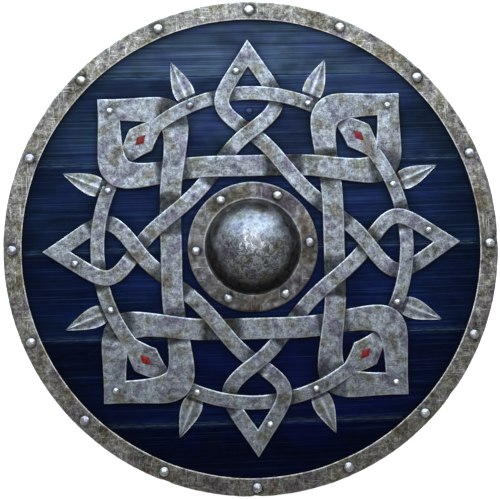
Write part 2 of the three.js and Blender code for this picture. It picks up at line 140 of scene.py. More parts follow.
def new_material(name):
    """A material, its node tree, its shader's inputs, and the place on the object that its patterns read."""
    material = bpy.data.materials.new(name)
    material.use_nodes = True
    tree = material.node_tree
    place = node(tree, "ShaderNodeTexCoord", output="Object")
    return material, tree, tree.nodes["Principled BSDF"].inputs, place


# Each layer of noise starts this far from the last, so that no two layers look alike
LAYER_SHIFT = 3.1


def grain(tree, place, layers, seed):
    """Noise in layers. Each has its size in millimetres, its stretch, detail, roughness and twist."""
    made = {}
    for k, (name, size, stretch, detail, roughness, twist) in enumerate(layers):
        fineness = tuple(1 / (size * MM * s) for s in stretch)
        scaled = node(tree, "ShaderNodeMapping", {
            "Vector": place, "Location": (seed + LAYER_SHIFT * k,) * 3, "Scale": fineness})
        made[name] = node(tree, "ShaderNodeTexNoise", {
            "Vector": scaled, "Scale": 1.0, "Detail": detail, "Roughness": roughness, "Distortion": twist})
    return made


STEEL_GRAIN = (
    ("clouds", 30, (1, 1, 1), 4, 0.6, 0.3),
    ("mottle", 6, (1, 1, 1), 5, 0.68, 0.5),
    ("specks", 2.1, (1, 1, 1), 3, 0.7, 0.0),
    ("curls", 5.5, (1, 1, 1), 2, 0.55, 0.6),
    ("tint", 21, (1, 1, 1), 3, 0.5, 0.0),
    ("rasp_across", 0.8, (30, 1, 1), 2, 0.5, 0.0),
    ("rasp_along", 0.8, (1, 30, 1), 2, 0.5, 0.0),
)


def browned_tone(tree, look, tones, specks):
    """Cloudy brown and grey, made bright by polish and painted highlights, with dark specks and clusters of
    pale flecks.
    """
    dark, middle, light, bright = tones
    cloudy = node(tree, "ShaderNodeMix", {0: 0.62, 2: look["clouds"], 3: look["mottle"]})
    tone = node(tree, "ShaderNodeValToRGB", {0: cloudy}, stops=((0.34, dark), (0.49, middle), (0.64, light)))

    worn = node(tree, "ShaderNodeAttribute", output="Fac", attribute_name="worn")
    kept = node(tree, "ShaderNodeMapRange", {0: look["mottle"], 1: 0.3, 2: 0.5, 3: 0.4, 4: 1.0})
    polished_and_highlit = node(tree, "ShaderNodeMath", {0: worn, 1: kept}, operation="MULTIPLY", use_clamp=True)
    tone = node(tree, "ShaderNodeMix", {0: polished_and_highlit, 6: tone, 7: colour(bright)}, 2, data_type="RGBA")

    dark_specks = node(tree, "ShaderNodeMapRange", {
        0: look["specks"], 1: 0.33, 2: 0.46, 3: 0.55 * specks, 4: 0.0})
    tone = node(tree, "ShaderNodeMix", {0: dark_specks, 6: tone, 7: colour(dark)}, 2, data_type="RGBA")
    flecks = node(tree, "ShaderNodeMapRange", {0: look["specks"], 1: 0.54, 2: 0.68, 3: 0.0, 4: 0.65 * specks})
    for layer, low, high, few, many in (("mottle", 0.4, 0.56, 0.1, 1.0), ("clouds", 0.42, 0.58, 0.35, 1.2)):
        cluster = node(tree, "ShaderNodeMapRange", {0: look[layer], 1: low, 2: high, 3: few, 4: many})
        flecks = node(tree, "ShaderNodeMath", {0: flecks, 1: cluster}, operation="MULTIPLY")
    return node(tree, "ShaderNodeMix", {0: flecks, 6: tone, 7: colour(bright)}, 2, data_type="RGBA")


def scratched_tone(tree, look, tone, bright, curls, rasped):
    """Curled scratches, more of them where the steel is crazed, and the straight ones of a file both ways."""
    from_middle = node(tree, "ShaderNodeMath", {0: look["curls"], 1: 0.5}, operation="SUBTRACT")
    from_middle = node(tree, "ShaderNodeMath", {0: from_middle}, operation="ABSOLUTE")
    crazed = node(tree, "ShaderNodeAttribute", output="Fac", attribute_name="crazed")
    curled = node(tree, "ShaderNodeMath", {0: crazed, 1: curls}, operation="ADD", use_clamp=True)
    scratches = node(tree, "ShaderNodeMapRange", {0: from_middle, 1: 0.01, 2: 0.055, 3: curled, 4: 0.0})
    for rasp in ("rasp_across", "rasp_along"):
        lines = node(tree, "ShaderNodeMapRange", {0: look[rasp], 1: 0.66, 2: 0.72, 3: 0.0, 4: rasped})
        scratches = node(tree, "ShaderNodeMath", {0: scratches, 1: lines}, operation="MAXIMUM")
    return node(tree, "ShaderNodeMix", {0: scratches, 6: tone, 7: colour(bright)}, 2, data_type="RGBA")


# Tempering tints on steel: a brown, an olive, none, and a purple
TEMPER_TINTS = ((0.3, "#b08f7c"), (0.38, "#c6c09a"), (0.47, "#ffffff"), (0.54, "#ffffff"), (0.64, "#b8a8c2"))
TEMPER_STRENGTH = 0.7
# The colour of dirt and of painted shade on steel
STEEL_DIRT_AND_SHADE = "#12100d"


def aged_steel(name, tones, seed, dents, coarse=1.0, specks=1.0, curls=0.3, rasped=0.45, rough=0.4,
               bumps=0.6):
    """Forged mild steel, browned and rubbed back by hand: a cloudy grey with dark specks and pale flecks,
    olive and purple tempering tints, curled scratches, polish and painted highlights on the edges, and
    soiling with painted shade. Tones go from dark to bright; dents are the hammer's bowls' width and depth in
    millimetres."""
    material, tree, surface, place = new_material(name)
    look = grain(tree, place, [(layer, size * coarse, *rest) for layer, size, *rest in STEEL_GRAIN], seed)
    tone = browned_tone(tree, look, tones, specks)
    tone = scratched_tone(tree, look, tone, tones[-1], curls, rasped)
    tints = node(tree, "ShaderNodeValToRGB", {0: look["tint"]}, stops=TEMPER_TINTS)
    tone = node(tree, "ShaderNodeMix", {0: TEMPER_STRENGTH, 6: tone, 7: tints}, 2, data_type="RGBA",
                blend_type="MULTIPLY")

    # Dirt and painted shade darken and dull the steel
    grime = node(tree, "ShaderNodeAttribute", output="Fac", attribute_name="grime")
    patchy = node(tree, "ShaderNodeMapRange", {0: look["mottle"], 1: 0.3, 2: 0.7, 3: 1.0, 4: 0.75})
    dirt = node(tree, "ShaderNodeMath", {0: grime, 1: patchy}, operation="MULTIPLY", use_clamp=True)
    tone = node(tree, "ShaderNodeMix", {0: dirt, 6: tone, 7: colour(STEEL_DIRT_AND_SHADE)}, 2, data_type="RGBA")
    tree.links.new(tone, surface["Base Color"])

    dull = node(tree, "ShaderNodeMapRange", {
        0: look["mottle"], 1: 0.3, 2: 0.7, 3: rough + 0.1, 4: rough - 0.06})
    dull = node(tree, "ShaderNodeMath", {0: dirt, 1: 0.3, 2: dull}, operation="MULTIPLY_ADD")
    tree.links.new(dull, surface["Roughness"])
    for key, clean, darkened in (("Metallic", 0.92, 0.0), ("Specular IOR Level", 0.5, 0.03)):
        tree.links.new(node(tree, "ShaderNodeMapRange", {0: dirt, 3: clean, 4: darkened}), surface[key])

    dent_size, dent_depth = dents
    bowls = grain(tree, place, (("bowls", dent_size, (1, 1, 1), 1, 0.5, 0.0),), seed + 40)["bowls"]
    normal = node(tree, "ShaderNodeBump", {"Height": bowls, "Strength": 1.0, "Distance": dent_depth * MM})
    for layer, strength, depth in (("mottle", bumps, 0.2), ("specks", 0.5 * specks, 0.12)):
        normal = node(tree, "ShaderNodeBump", {
            "Height": look[layer], "Strength": strength, "Distance": depth * MM, "Normal": normal})
    tree.links.new(normal, surface["Normal"])
    return material


# Each plank has its own tone, painted lighter from a deep navy at the foot to a slate blue at the head as
# painted light
PLANK_TONES_WITH_PAINTED_LIGHT = ("#060c42", "#101b58", "#223574", "#384c84", "#586f98", "#7c97ae")
GREENED_TINT = "#a9c4b4"
PALE_LINE = "#4d6c9c"
RUBBED = "#5d7a9a"
DARK_WAX_AND_SHADE = "#03040a"

WOOD_GRAIN = (
    ("fibres", 1.7, (80, 1, 6), 4, 0.6, 0.15),
    ("bands", 5.0, (40, 1, 6), 3, 0.5, 0.3),
    ("clouds", 55, (1.8, 1, 1), 4, 0.55, 0.5),
    ("blooms", 34, (1.4, 1, 1), 3, 0.5, 0.3),
    ("flakes", 2.4, (5, 1, 1), 5, 0.7, 0.0),
)


def clouded_blue(tree, look, lines, board, along):
    """The blue of each plank, streaked along its grain, clouded, and greened by age towards its ends."""
    # The tones get lighter towards the head as painted light
    stops = [(k / PLANK_COUNT, tone) for k, tone in enumerate(PLANK_TONES_WITH_PAINTED_LIGHT)]
    tone = node(tree, "ShaderNodeValToRGB", {0: board}, stops=stops)
    tone.node.color_ramp.interpolation = "CONSTANT"
    streaks = node(tree, "ShaderNodeValToRGB", {0: lines},
                   stops=((0.36, "#7b7e86"), (0.5, "#b4b6bd"), (0.64, "#ececec")))
    hues = node(tree, "ShaderNodeValToRGB", {0: look["blooms"]},
                stops=((0.36, "#8fa4a4"), (0.5, "#c9c6d8"), (0.62, "#aaa4dc")))
    clouds = node(tree, "ShaderNodeValToRGB", {0: look["clouds"]},
                  stops=((0.36, "#6e7076"), (0.62, "#ffffff")))
    greened = node(tree, "ShaderNodeMapRange", {0: along, 1: 80 * MM, 2: 250 * MM, 3: 0.0, 4: 0.9})
    for share, tint in ((1.0, streaks), (0.75, hues), (0.8, clouds), (greened, colour(GREENED_TINT))):
        tone = node(tree, "ShaderNodeMix", {0: share, 6: tone, 7: tint}, 2, data_type="RGBA",
                    blend_type="MULTIPLY")
    return tone


def painted_planks():
    """Casein paint, brushed thin over planed ash: the grain shows as fine paler lines, the blue is clouded
    and greened by age, it is rubbed off along the seams, and dark wax and painted shade darken it around the
    metal."""
    material, tree, surface, place = new_material("blue_casein_on_ash")
    board = node(tree, "ShaderNodeAttribute", output="Fac", attribute_name="board")
    apart = node(tree, "ShaderNodeCombineXYZ", {0: board})
    along = node(tree, "ShaderNodeSeparateXYZ", {0: place})
    along = node(tree, "ShaderNodeMath", {0: along}, operation="ABSOLUTE")
    place = node(tree, "ShaderNodeVectorMath", {0: place, 1: apart}, operation="ADD")
    look = grain(tree, place, WOOD_GRAIN, 2.0)
    lines = node(tree, "ShaderNodeMix", {0: 0.3, 2: look["fibres"], 3: look["bands"]})
    tone = clouded_blue(tree, look, lines, board, along)

    # Pale lines and rubbing are painted stronger towards the head and weaker at the foot, as painted light
    painted_light_headward = node(tree, "ShaderNodeMapRange", {0: board, 3: 0.25, 4: 1.0})
    pale_lines = node(tree, "ShaderNodeMapRange", {0: look["fibres"], 1: 0.58, 2: 0.7, 3: 0.0, 4: 0.22})
    pale_lines = node(tree, "ShaderNodeMath", {0: pale_lines, 1: painted_light_headward}, operation="MULTIPLY")
    tone = node(tree, "ShaderNodeMix", {0: pale_lines, 6: tone, 7: colour(PALE_LINE)}, 2, data_type="RGBA")
    rubbed = node(tree, "ShaderNodeAttribute", output="Fac", attribute_name="worn")
    rubbed = node(tree, "ShaderNodeMath", {0: rubbed, 1: 0.03}, operation="ADD")
    flaked = node(tree, "ShaderNodeMapRange", {0: look["flakes"], 1: 0.44, 2: 0.6, 3: 0.25, 4: 1.0})
    wear_and_painted_light = node(tree, "ShaderNodeMath", {0: flaked, 1: rubbed}, operation="MULTIPLY", use_clamp=True)
    wear_and_painted_light = node(tree, "ShaderNodeMath", {0: wear_and_painted_light, 1: painted_light_headward}, operation="MULTIPLY")
    tone = node(tree, "ShaderNodeMix", {0: wear_and_painted_light, 6: tone, 7: colour(RUBBED)}, 2, data_type="RGBA")
    # Dark wax and painted shade darken the paint along the metal, with painted shade towards the rim
    grime = node(tree, "ShaderNodeAttribute", output="Fac", attribute_name="grime")
    tone = node(tree, "ShaderNodeMix", {0: grime, 6: tone, 7: colour(DARK_WAX_AND_SHADE)}, 2, data_type="RGBA")
    tree.links.new(tone, surface["Base Color"])

    dull = node(tree, "ShaderNodeMapRange", {0: lines, 1: 0.35, 2: 0.65, 3: 0.42, 4: 0.58})
    tree.links.new(dull, surface["Roughness"])
    surface["Specular IOR Level"].default_value = 0.06
    surface["Specular Tint"].default_value = colour("#a9c6ff")
    before = {}
    for layer, strength, depth in (("fibres", 0.9, 0.3), ("bands", 0.7, 0.7), ("flakes", 0.3, 0.15)):
        normal = node(tree, "ShaderNodeBump", {
            "Height": look[layer], "Strength": strength, "Distance": depth * MM, **before})
        before = {"Normal": normal}
    tree.links.new(normal, surface["Normal"])
    return material


def bare_ash(name, along_x, seed):
    """Oiled ash, planed by hand: long open pores, darker late growth, and a darker handled surface."""
    material, tree, surface, place = new_material(name)
    pore_stretch, growth_stretch = ((s, 1, 1) if along_x else (1, s, 1) for s in (60, 16))
    look = grain(tree, place, (
        ("pores", 0.9, pore_stretch, 3, 0.6, 0.0),
        ("growth", 9, growth_stretch, 3, 0.5, 0.6),
        ("stains", 60, (1, 1, 1), 4, 0.55, 0.0),
    ), seed)
    many = node(tree, "ShaderNodeMath", {0: look["growth"], 1: 14.0}, operation="MULTIPLY")
    many = node(tree, "ShaderNodeCombineXYZ", {0: many})
    rings = node(tree, "ShaderNodeTexWave", {"Scale": 1.0, "Vector": many}, "Fac")
    tone = node(tree, "ShaderNodeValToRGB", {0: rings},
                stops=((0.1, "#6a4c30"), (0.5, "#8f6f4b"), (0.95, "#ab8c64")))
    stains = node(tree, "ShaderNodeValToRGB", {0: look["stains"]}, stops=((0.3, "#8d7a68"), (0.7, "#ffffff")))
    tone = node(tree, "ShaderNodeMix", {0: 0.7, 6: tone, 7: stains}, 2, data_type="RGBA",
                blend_type="MULTIPLY")
    open_pores = node(tree, "ShaderNodeMapRange", {0: look["pores"], 1: 0.36, 2: 0.46, 3: 0.75, 4: 0.0})
    tone = node(tree, "ShaderNodeMix", {0: open_pores, 6: tone, 7: colour("#3d2917")}, 2, data_type="RGBA")
    grime = node(tree, "ShaderNodeAttribute", output="Fac", attribute_name="grime")
    tone = node(tree, "ShaderNodeMix", {0: grime, 6: tone, 7: colour("#22160c")}, 2, data_type="RGBA")
    tree.links.new(tone, surface["Base Color"])

    dull = node(tree, "ShaderNodeMapRange", {0: look["pores"], 1: 0.3, 2: 0.7, 3: 0.72, 4: 0.55})
    tree.links.new(dull, surface["Roughness"])
    normal = node(tree, "ShaderNodeBump", {"Height": look["pores"], "Strength": 0.6, "Distance": 0.3 * MM})
    normal = node(tree, "ShaderNodeBump", {
        "Height": rings, "Strength": 0.25, "Distance": 0.2 * MM, "Normal": normal})
    tree.links.new(normal, surface["Normal"])
    return material


def red_enamel():
    """Fired red enamel: deep colour under a glassy skin, with darker clouds and small pits."""
    material, tree, surface, place = new_material("fired_red_enamel")
    look = grain(tree, place, (("clouds", 4, (1, 1, 1), 3, 0.5, 0.0),), 21.0)
    tone = node(tree, "ShaderNodeValToRGB", {0: look["clouds"]},
                stops=((0.35, "#4a0308"), (0.5, "#7a0a12"), (0.7, "#9c1119")))
    tree.links.new(tone, surface["Base Color"])
    surface["Roughness"].default_value = 0.45
    surface["Specular IOR Level"].default_value = 0.3
    normal = node(tree, "ShaderNodeBump", {"Height": look["clouds"], "Strength": 0.3, "Distance": 0.2 * MM})
    tree.links.new(normal, surface["Normal"])
    return material


def white_floor():
    """A white light table: an opal sheet, evenly lit from below."""
    material, tree, surface, place = new_material("opal_light_table")
    look = grain(tree, place, (("clouds", 500, (1, 1, 1), 2, 0.5, 0.0),), 1.0)
    tone = node(tree, "ShaderNodeValToRGB", {0: look["clouds"]}, stops=((0.3, "#f1f1ef"), (0.7, "#f6f6f5")))
    tree.links.new(tone, surface["Base Color"])
    surface["Roughness"].default_value = 0.85
    surface["Emission Color"].default_value = (1, 1, 1, 1)
    surface["Emission Strength"].default_value = 0.8
    return material


# Lights: a wide soft box beyond the head of the shield, a panel overhead, and a dim room with white walls


def add_area(name, place, target, size, power, tint):
    data = bpy.data.lights.new(name, "AREA")
    data.shape = "RECTANGLE"
    data.size, data.size_y = size
    data.energy = power
    data.color = tint
    light = bpy.data.objects.new(name, data)
    light.location = place
    light.rotation_euler = (Vector(target) - Vector(place)).to_track_quat("-Z", "Y").to_euler()
    bpy.context.collection.objects.link(light)


def add_lights():
    add_area("soft_box", (0.0, 1.2, 0.7), (0, 0.05, 0), (4.0, 1.3), 44, (0.65, 0.83, 1.0))
    add_area("overhead", (0.0, 0.55, 2.0), (0, 0.15, 0), (2.0, 1.3), 16, (0.9, 0.95, 1.0))
    world = bpy.data.worlds.new("room")
    world.use_nodes = True
    tree = world.node_tree
    seen = node(tree, "ShaderNodeLightPath", output="Is Camera Ray")
    strength = node(tree, "ShaderNodeMapRange", {0: seen, 3: 0.27, 4: 1.0})
    tree.links.new(strength, tree.nodes["Background"].inputs["Strength"])
    tree.nodes["Background"].inputs["Color"].default_value = (1, 1, 1, 1)
    bpy.context.scene.world = world


# Meshes


def new_object(name, points, edges=(), faces=(), materials=(), face_materials=None, attributes=None):
    """An object with a mesh. An attribute has a number or a vector for each point."""
    mesh = bpy.data.meshes.new(name)
    mesh.from_pydata([tuple(p) for p in points], edges, faces)
    for material in materials:
        mesh.materials.append(material)
    if face_materials is not None:
        mesh.polygons.foreach_set("material_index", face_materials)
    mesh.polygons.foreach_set("use_smooth", [True] * len(mesh.polygons))
    for key, values in (attributes or {}).items():
        set_attribute(mesh, key, values)
    made = bpy.data.objects.new(name, mesh)
    bpy.context.collection.objects.link(made)
    return made


def set_attribute(mesh, name, values):
    values = np.asarray(values, dtype=np.float32)
    kind, field = ("FLOAT_VECTOR", "vector") if values.ndim == 2 else ("FLOAT", "value")
    layer = mesh.attributes.get(name) or mesh.attributes.new(name, kind, "POINT")
    layer.data.foreach_set(field, values.ravel())


def get_attribute(mesh, name, width=1):
    values = np.empty(len(mesh.vertices) * width, dtype=np.float32)
    mesh.attributes[name].data.foreach_get("value" if width == 1 else "vector", values)
    return values if width == 1 else values.reshape(-1, width)


def set_modifier(made, tree, values):
    """Runs a Geometry Nodes tree on the object, its inputs given by name, and keeps the result as a mesh."""
    modifier = made.modifiers.new(tree.name, "NODES")
    modifier.node_group = tree
    for item in tree.interface.items_tree:
        if item.in_out == "INPUT" and item.name in values:
            modifier[item.identifier] = values[item.name]
    finish_modifiers(made)


def finish_modifiers(made):
    """Turns the object with its modifiers into a plain mesh."""
    evaluated = made.evaluated_get(bpy.context.evaluated_depsgraph_get())
    finished = bpy.data.meshes.new_from_object(evaluated)
    made.modifiers.clear()
    rough = made.data
    made.data = finished
    bpy.data.meshes.remove(rough)
    finished.name = made.name


def cleaned(piece, sharp_degrees=42, distance=2e-6):
    """Merges doubled points, drops faces with no area, turns the faces outwards and keeps corners sharp."""
    shape = bmesh.new()
    shape.from_mesh(piece.data)
    bmesh.ops.remove_doubles(shape, verts=shape.verts, dist=distance)
    bmesh.ops.dissolve_degenerate(shape, edges=shape.edges, dist=distance / 2)
    bmesh.ops.recalc_face_normals(shape, faces=shape.faces)
    shape.to_mesh(piece.data)
    shape.free()
    piece.data.set_sharp_from_angle(angle=math.radians(sharp_degrees))
    return piece


def finished_piece(piece, slot, *nodes):
    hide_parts(*nodes)
    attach(piece, "root")


def grid_faces(rows, columns, close_rows=False, close_columns=False):
    """Faces of a grid whose point (i, j) has the number i * columns + j."""
    faces = []
    for i in range(rows if close_rows else rows - 1):
        for j in range(columns if close_columns else columns - 1):
            a = i * columns + j
            b = i * columns + (j + 1) % columns
            down = (i + 1) % rows * columns - i * columns
            faces.append((a, b, b + down, a + down))
    return faces


def smooth_noise(points, size, seed=0.0):
    """Noise from -1 to 1 at each point, with blotches about size metres across."""
    shift = Vector((seed, 0, 0))
    return np.array([noise.noise(Vector(p) / size + shift) for p in points])


def fading(distance, reach):
    """From 1 at no distance to 0 at the reach and beyond."""
    return np.clip(1 - distance / reach, 0, 1)


def dirt_and_shadow_round(points, heads, head_r, fade):
    """Dirt and painted shadow round the heads of rivets: 1 under and at a head, and less the further out."""
    places = [centre_of(name) for name in heads]
    away = np.min([np.hypot(points[:, 0] - p.x, points[:, 1] - p.y) for p in places], axis=0)
    return np.exp(-np.maximum(0, away - head_r) / fade)


# The sweep: rim, boss and straps are each a section carried along a closed path


def put_in_place(tree, mesh, read):
    """Moves each point of the mesh off the path's centre, by its share of the width and to its level."""
    offset = node(tree, "ShaderNodeMath", {0: read["side"], 1: read["half"], 2: read["shift"]},
                  operation="MULTIPLY_ADD")
    aside = node(tree, "ShaderNodeVectorMath", {0: read["across"], 3: offset}, operation="SCALE")
    lowering = node(tree, "ShaderNodeMath", {0: read["drop"], 1: read["drops"]}, operation="MULTIPLY")
    level = node(tree, "ShaderNodeMath", {0: read["level"], 1: lowering}, operation="SUBTRACT")
    up = node(tree, "ShaderNodeCombineXYZ", {2: level})
    flat = node(tree, "ShaderNodeVectorMath", {0: read["centre"], 1: aside}, operation="ADD")
    place = node(tree, "ShaderNodeVectorMath", {0: flat, 1: up}, operation="ADD")
    return node(tree, "GeometryNodeSetPosition", {"Geometry": mesh, "Position": place})


def with_dents(tree, mesh, given, read):
    """Sinks the mesh where it is hammered, in broad swells with round bowls among them."""
    fineness = node(tree, "ShaderNodeMath", {0: 1.0, 1: given["Dent Size"]}, operation="DIVIDE")
    swells = node(tree, "ShaderNodeTexNoise", {"Scale": fineness, "W": given["Seed"], "Detail": 1.0},
                  noise_dimensions="4D")
    bowls = node(tree, "ShaderNodeTexVoronoi", {"Scale": fineness, "W": given["Seed"]},
                 voronoi_dimensions="4D")
    bowls = node(tree, "ShaderNodeMapRange", {0: bowls, 1: 0.0, 2: 0.75, 3: 0.5, 4: 0.0})
    dents = node(tree, "ShaderNodeMath", {0: swells, 1: 0.6, 2: bowls}, operation="MULTIPLY_ADD")
    dents = node(tree, "ShaderNodeMath", {0: dents, 1: read["hammered"]}, operation="MULTIPLY")
    dents = node(tree, "ShaderNodeMath", {0: dents, 1: given["Dent Depth"]}, operation="MULTIPLY")
    sunk = node(tree, "ShaderNodeCombineXYZ", {2: dents})
    sunk = node(tree, "ShaderNodeVectorMath", {0: sunk, 3: -1.0}, operation="SCALE")
    return node(tree, "GeometryNodeSetPosition", {"Geometry": mesh, "Offset": sunk})


def sweep_tree():
    """A section carried along a path by Geometry Nodes, with hammer dents. A path point brings its centre,
    its direction across, half a width, a drop and a painted shade. A section point brings its side, shift,
    level, share of the drop, polish with painted highlight, soiling with painted shade, and how hammered it
    is."""
    tree = bpy.data.node_groups.new("section_along_path", "GeometryNodeTree")
    for name, kind in (("Path", "Geometry"), ("Section", "Object"), ("Dent Size", "Float"),
                       ("Dent Depth", "Float"), ("Seed", "Float"), ("Steel", "Material")):
        tree.interface.new_socket(name, in_out="INPUT", socket_type=f"NodeSocket{kind}")
    tree.interface.new_socket("Geometry", in_out="OUTPUT", socket_type="NodeSocketGeometry")
    given = node(tree, "NodeGroupInput").node.outputs
    section = node(tree, "GeometryNodeObjectInfo", {"Object": given["Section"]}, "Geometry")
    rail = node(tree, "GeometryNodeMeshToCurve", {0: given["Path"]})
    profile = node(tree, "GeometryNodeMeshToCurve", {0: section})
    swept = node(tree, "GeometryNodeCurveToMesh", {0: rail, 1: profile})
    read = {}
    for name in ("centre", "across"):
        read[name] = node(tree, "GeometryNodeInputNamedAttribute", {"Name": name}, data_type="FLOAT_VECTOR")
    for name in ("half", "drop", "shade", "side", "shift", "level", "drops", "shine", "dirt", "hammered"):
        read[name] = node(tree, "GeometryNodeInputNamedAttribute", {"Name": name}, data_type="FLOAT")
    hammered = with_dents(tree, put_in_place(tree, swept, read), given, read)

    # Near the band above, the strap is painted darker as shade and its highlight is taken away
    lit = node(tree, "ShaderNodeMath", {0: 1.0, 1: read["shade"]}, operation="SUBTRACT")
    worn = node(tree, "ShaderNodeMath", {0: read["shine"], 1: lit}, operation="MULTIPLY")
    grime = node(tree, "ShaderNodeMath", {0: read["dirt"], 1: read["shade"]}, operation="MAXIMUM")
    marked = hammered
    for name, value in (("worn", worn), ("grime", grime)):
        marked = node(tree, "GeometryNodeStoreNamedAttribute", {
            "Geometry": marked, "Name": name, "Value": value}, data_type="FLOAT")
    real = node(tree, "GeometryNodeRealizeInstances", {"Geometry": marked})
    steel = node(tree, "GeometryNodeSetMaterial", {"Geometry": real, "Material": given["Steel"]})
    node(tree, "NodeGroupOutput", {0: steel})
    return tree


SECTION_FIELDS = ("side", "shift", "level", "drops", "shine", "dirt", "hammered")
PATH_FIELDS = ("centre", "across", "half", "drop", "shade")


def swept(name, tree, path, section, closed_section, dents, seed, steel):
    """Sweeps the section along the closed path. Path maps fields to values, and section is rows of fields."""
    count, columns = len(path["half"]), len(section)
    fields = dict(zip(SECTION_FIELDS, np.array(section, dtype=float).T))
    fields["section_number"] = np.arange(columns)
    edges = [(k, (k + 1) % columns) for k in range(columns if closed_section else columns - 1)]
    beads = [(k * MM, 0, 0) for k in range(columns)]
    profile = new_object(f"{name}_section", beads, edges, attributes=fields)
    path = {**path, "path_number": np.arange(count)}
    edges = [(k, (k + 1) % count) for k in range(count)]
    piece = new_object(name, path["centre"] + path["across"], edges, attributes=path)
    dent_size, dent_depth = dents
    set_modifier(piece, tree, {
        "Section": profile, "Dent Size": dent_size, "Dent Depth": dent_depth, "Seed": seed, "Steel": steel})
    bpy.data.objects.remove(profile)
    return piece


def tidy_attributes(mesh):
    """Drops the attributes that only the making of the mesh needed."""
    for name in (*PATH_FIELDS, "path_number", *SECTION_FIELDS, "section_number"):
        if name in mesh.attributes:
            mesh.attributes.remove(mesh.attributes[name])


def circular_path(steps):
    angle = np.arange(steps) * 2 * math.pi / steps
    across = np.column_stack([np.cos(angle), np.sin(angle), np.zeros(steps)])
    still = np.zeros(steps)
    return {"centre": np.zeros((steps, 3)), "across": across, "half": still, "drop": still, "shade": still}


# Dents in the outer edge of the rim, where the photograph shows them: degrees, half width in degrees, depth
RIM_DENTS = ((-112, 2.2, 2.0 * MM), (-91, 1.6, 1.8 * MM), (1, 3.0, 1.4 * MM), (146, 2.6, 1.2 * MM),
             (52, 2.0, 1.0 * MM), (-38, 2.8, 1.2 * MM))
# Waves in the same edge, which was beaten by eye: half their depth, their size, and a seed
RIM_WAVES = ((0.25 * MM, 45 * MM, 0.0), (0.25 * MM, 13 * MM, 5.0), (0.3 * MM, 4.5 * MM, 6.0))
RIM_BEND = 1.3 * MM
RIM_LIP = 0.5 * MM
RIM_HAMMERING = (13 * MM, 0.42 * MM)
JUST_ABOVE = 0.2 * MM


def rim_section():
    """The U-shaped section, from the front flange's inner edge round the outside and back on the inside."""
    wall = SHIELD_R - RIM_SHEET
    flat_end = SHIELD_R - 2 * RIM_BEND
    points = [(RIM_INNER_R, PLANK_TOP), (RIM_INNER_R, RIM_FRONT - RIM_LIP),
              (RIM_INNER_R + 0.15 * MM, RIM_FRONT - 0.15 * MM)]
    points += [(r, RIM_FRONT) for r in np.linspace(RIM_INNER_R + RIM_LIP, flat_end, 18)]
    quarter = [(RIM_BEND * (1 - math.sin(t)), RIM_BEND * (1 - math.cos(t)))
               for t in np.linspace(0, math.pi / 2, 6)[1:]]
    points += [(SHIELD_R - left, RIM_FRONT - turned) for left, turned in quarter]
    points += [(SHIELD_R, z) for z in np.linspace(RIM_FRONT - 2 * RIM_BEND, RIM_BACK + 2 * RIM_BEND, 5)]
    points += [(SHIELD_R - turned, RIM_BACK + left) for left, turned in quarter]
    points += [(r, RIM_BACK) for r in np.linspace(flat_end, RIM_INNER_R, 9)]
    points += [(RIM_INNER_R, PLANK_BOTTOM), (wall, PLANK_BOTTOM), (wall, PLANK_TOP)]
    section = []
    for r, z in points:
        # Polish with painted highlights along the inner edge and the rounded outside; the back of the U is
        # darker
        inner = fading(abs(r - RIM_INNER_R - 0.3 * MM), 1.3 * MM)
        rounded = fading(SHIELD_R - r, 2.4 * MM)
        front = z > PLANK_TOP + JUST_ABOVE
        shine = min(1.0, inner + 0.6 * rounded) if front else 0.3 * rounded
        dirt = 0.25 if z < PLANK_TOP and r < SHIELD_R - 4 * MM else 0.0
        section.append((0, r, z, 0, shine, dirt, 1.0 if front else 0.0))
    return section


def rim_dents(out):
    """How deep the outer edge is dented in each direction."""
    degrees = np.degrees(np.arctan2(out[:, 1], out[:, 0]))
    dent = np.zeros(len(out))
    for centre, half_width, depth in RIM_DENTS:
        away = np.abs((degrees - centre + 180) % 360 - 180)
        dent += depth * fading(away, half_width) ** 2
    return dent


def make_rim(tree, steel):
    piece = swept("rim_band", tree, circular_path(640), rim_section(), True, RIM_HAMMERING, 1.0, steel)
    points = get_attribute(piece.data, "position", 3)
    radius = np.hypot(points[:, 0], points[:, 1])
    out = points[:, :2] / radius[:, None]
    edge_places = np.column_stack([out * SHIELD_R, np.zeros(len(out))])
    beaten = sum(depth * (1 + smooth_noise(edge_places, size, seed)) for depth, size, seed in RIM_WAVES)
    dent = rim_dents(out)
    outer = fading(SHIELD_R - radius, 8 * MM)
    inner = fading(radius - RIM_INNER_R, 6 * MM)
    wander = 0.5 * MM * smooth_noise(edge_places, 50 * MM, 9.0)
    moved = radius - (beaten + dent) * outer ** 2 + wander * inner
    points[:, :2] = out * moved[:, None]
    front = points[:, 2] > PLANK_TOP + JUST_ABOVE
    points[:, 2] -= 0.5 * dent * outer * front
    set_attribute(piece.data, "position", points)

    # A dark ring of dirt and painted shadow round each rivet
    round_rivets = 0.9 * front * dirt_and_shadow_round(points, RIM_RIVETS, 6.4 * MM, 2.4 * MM)
    in_dents = np.clip(dent / (1.2 * MM), 0, 1) * fading(SHIELD_R - radius, 4 * MM)
    grime = np.maximum(get_attribute(piece.data, "grime"), round_rivets)
    set_attribute(piece.data, "grime", np.maximum(grime, in_dents))
    tidy_attributes(piece.data)
    finished_piece(cleaned(piece), "rim_steel", "rim")


BOSS_HAMMERING = (10 * MM, 0.55 * MM)


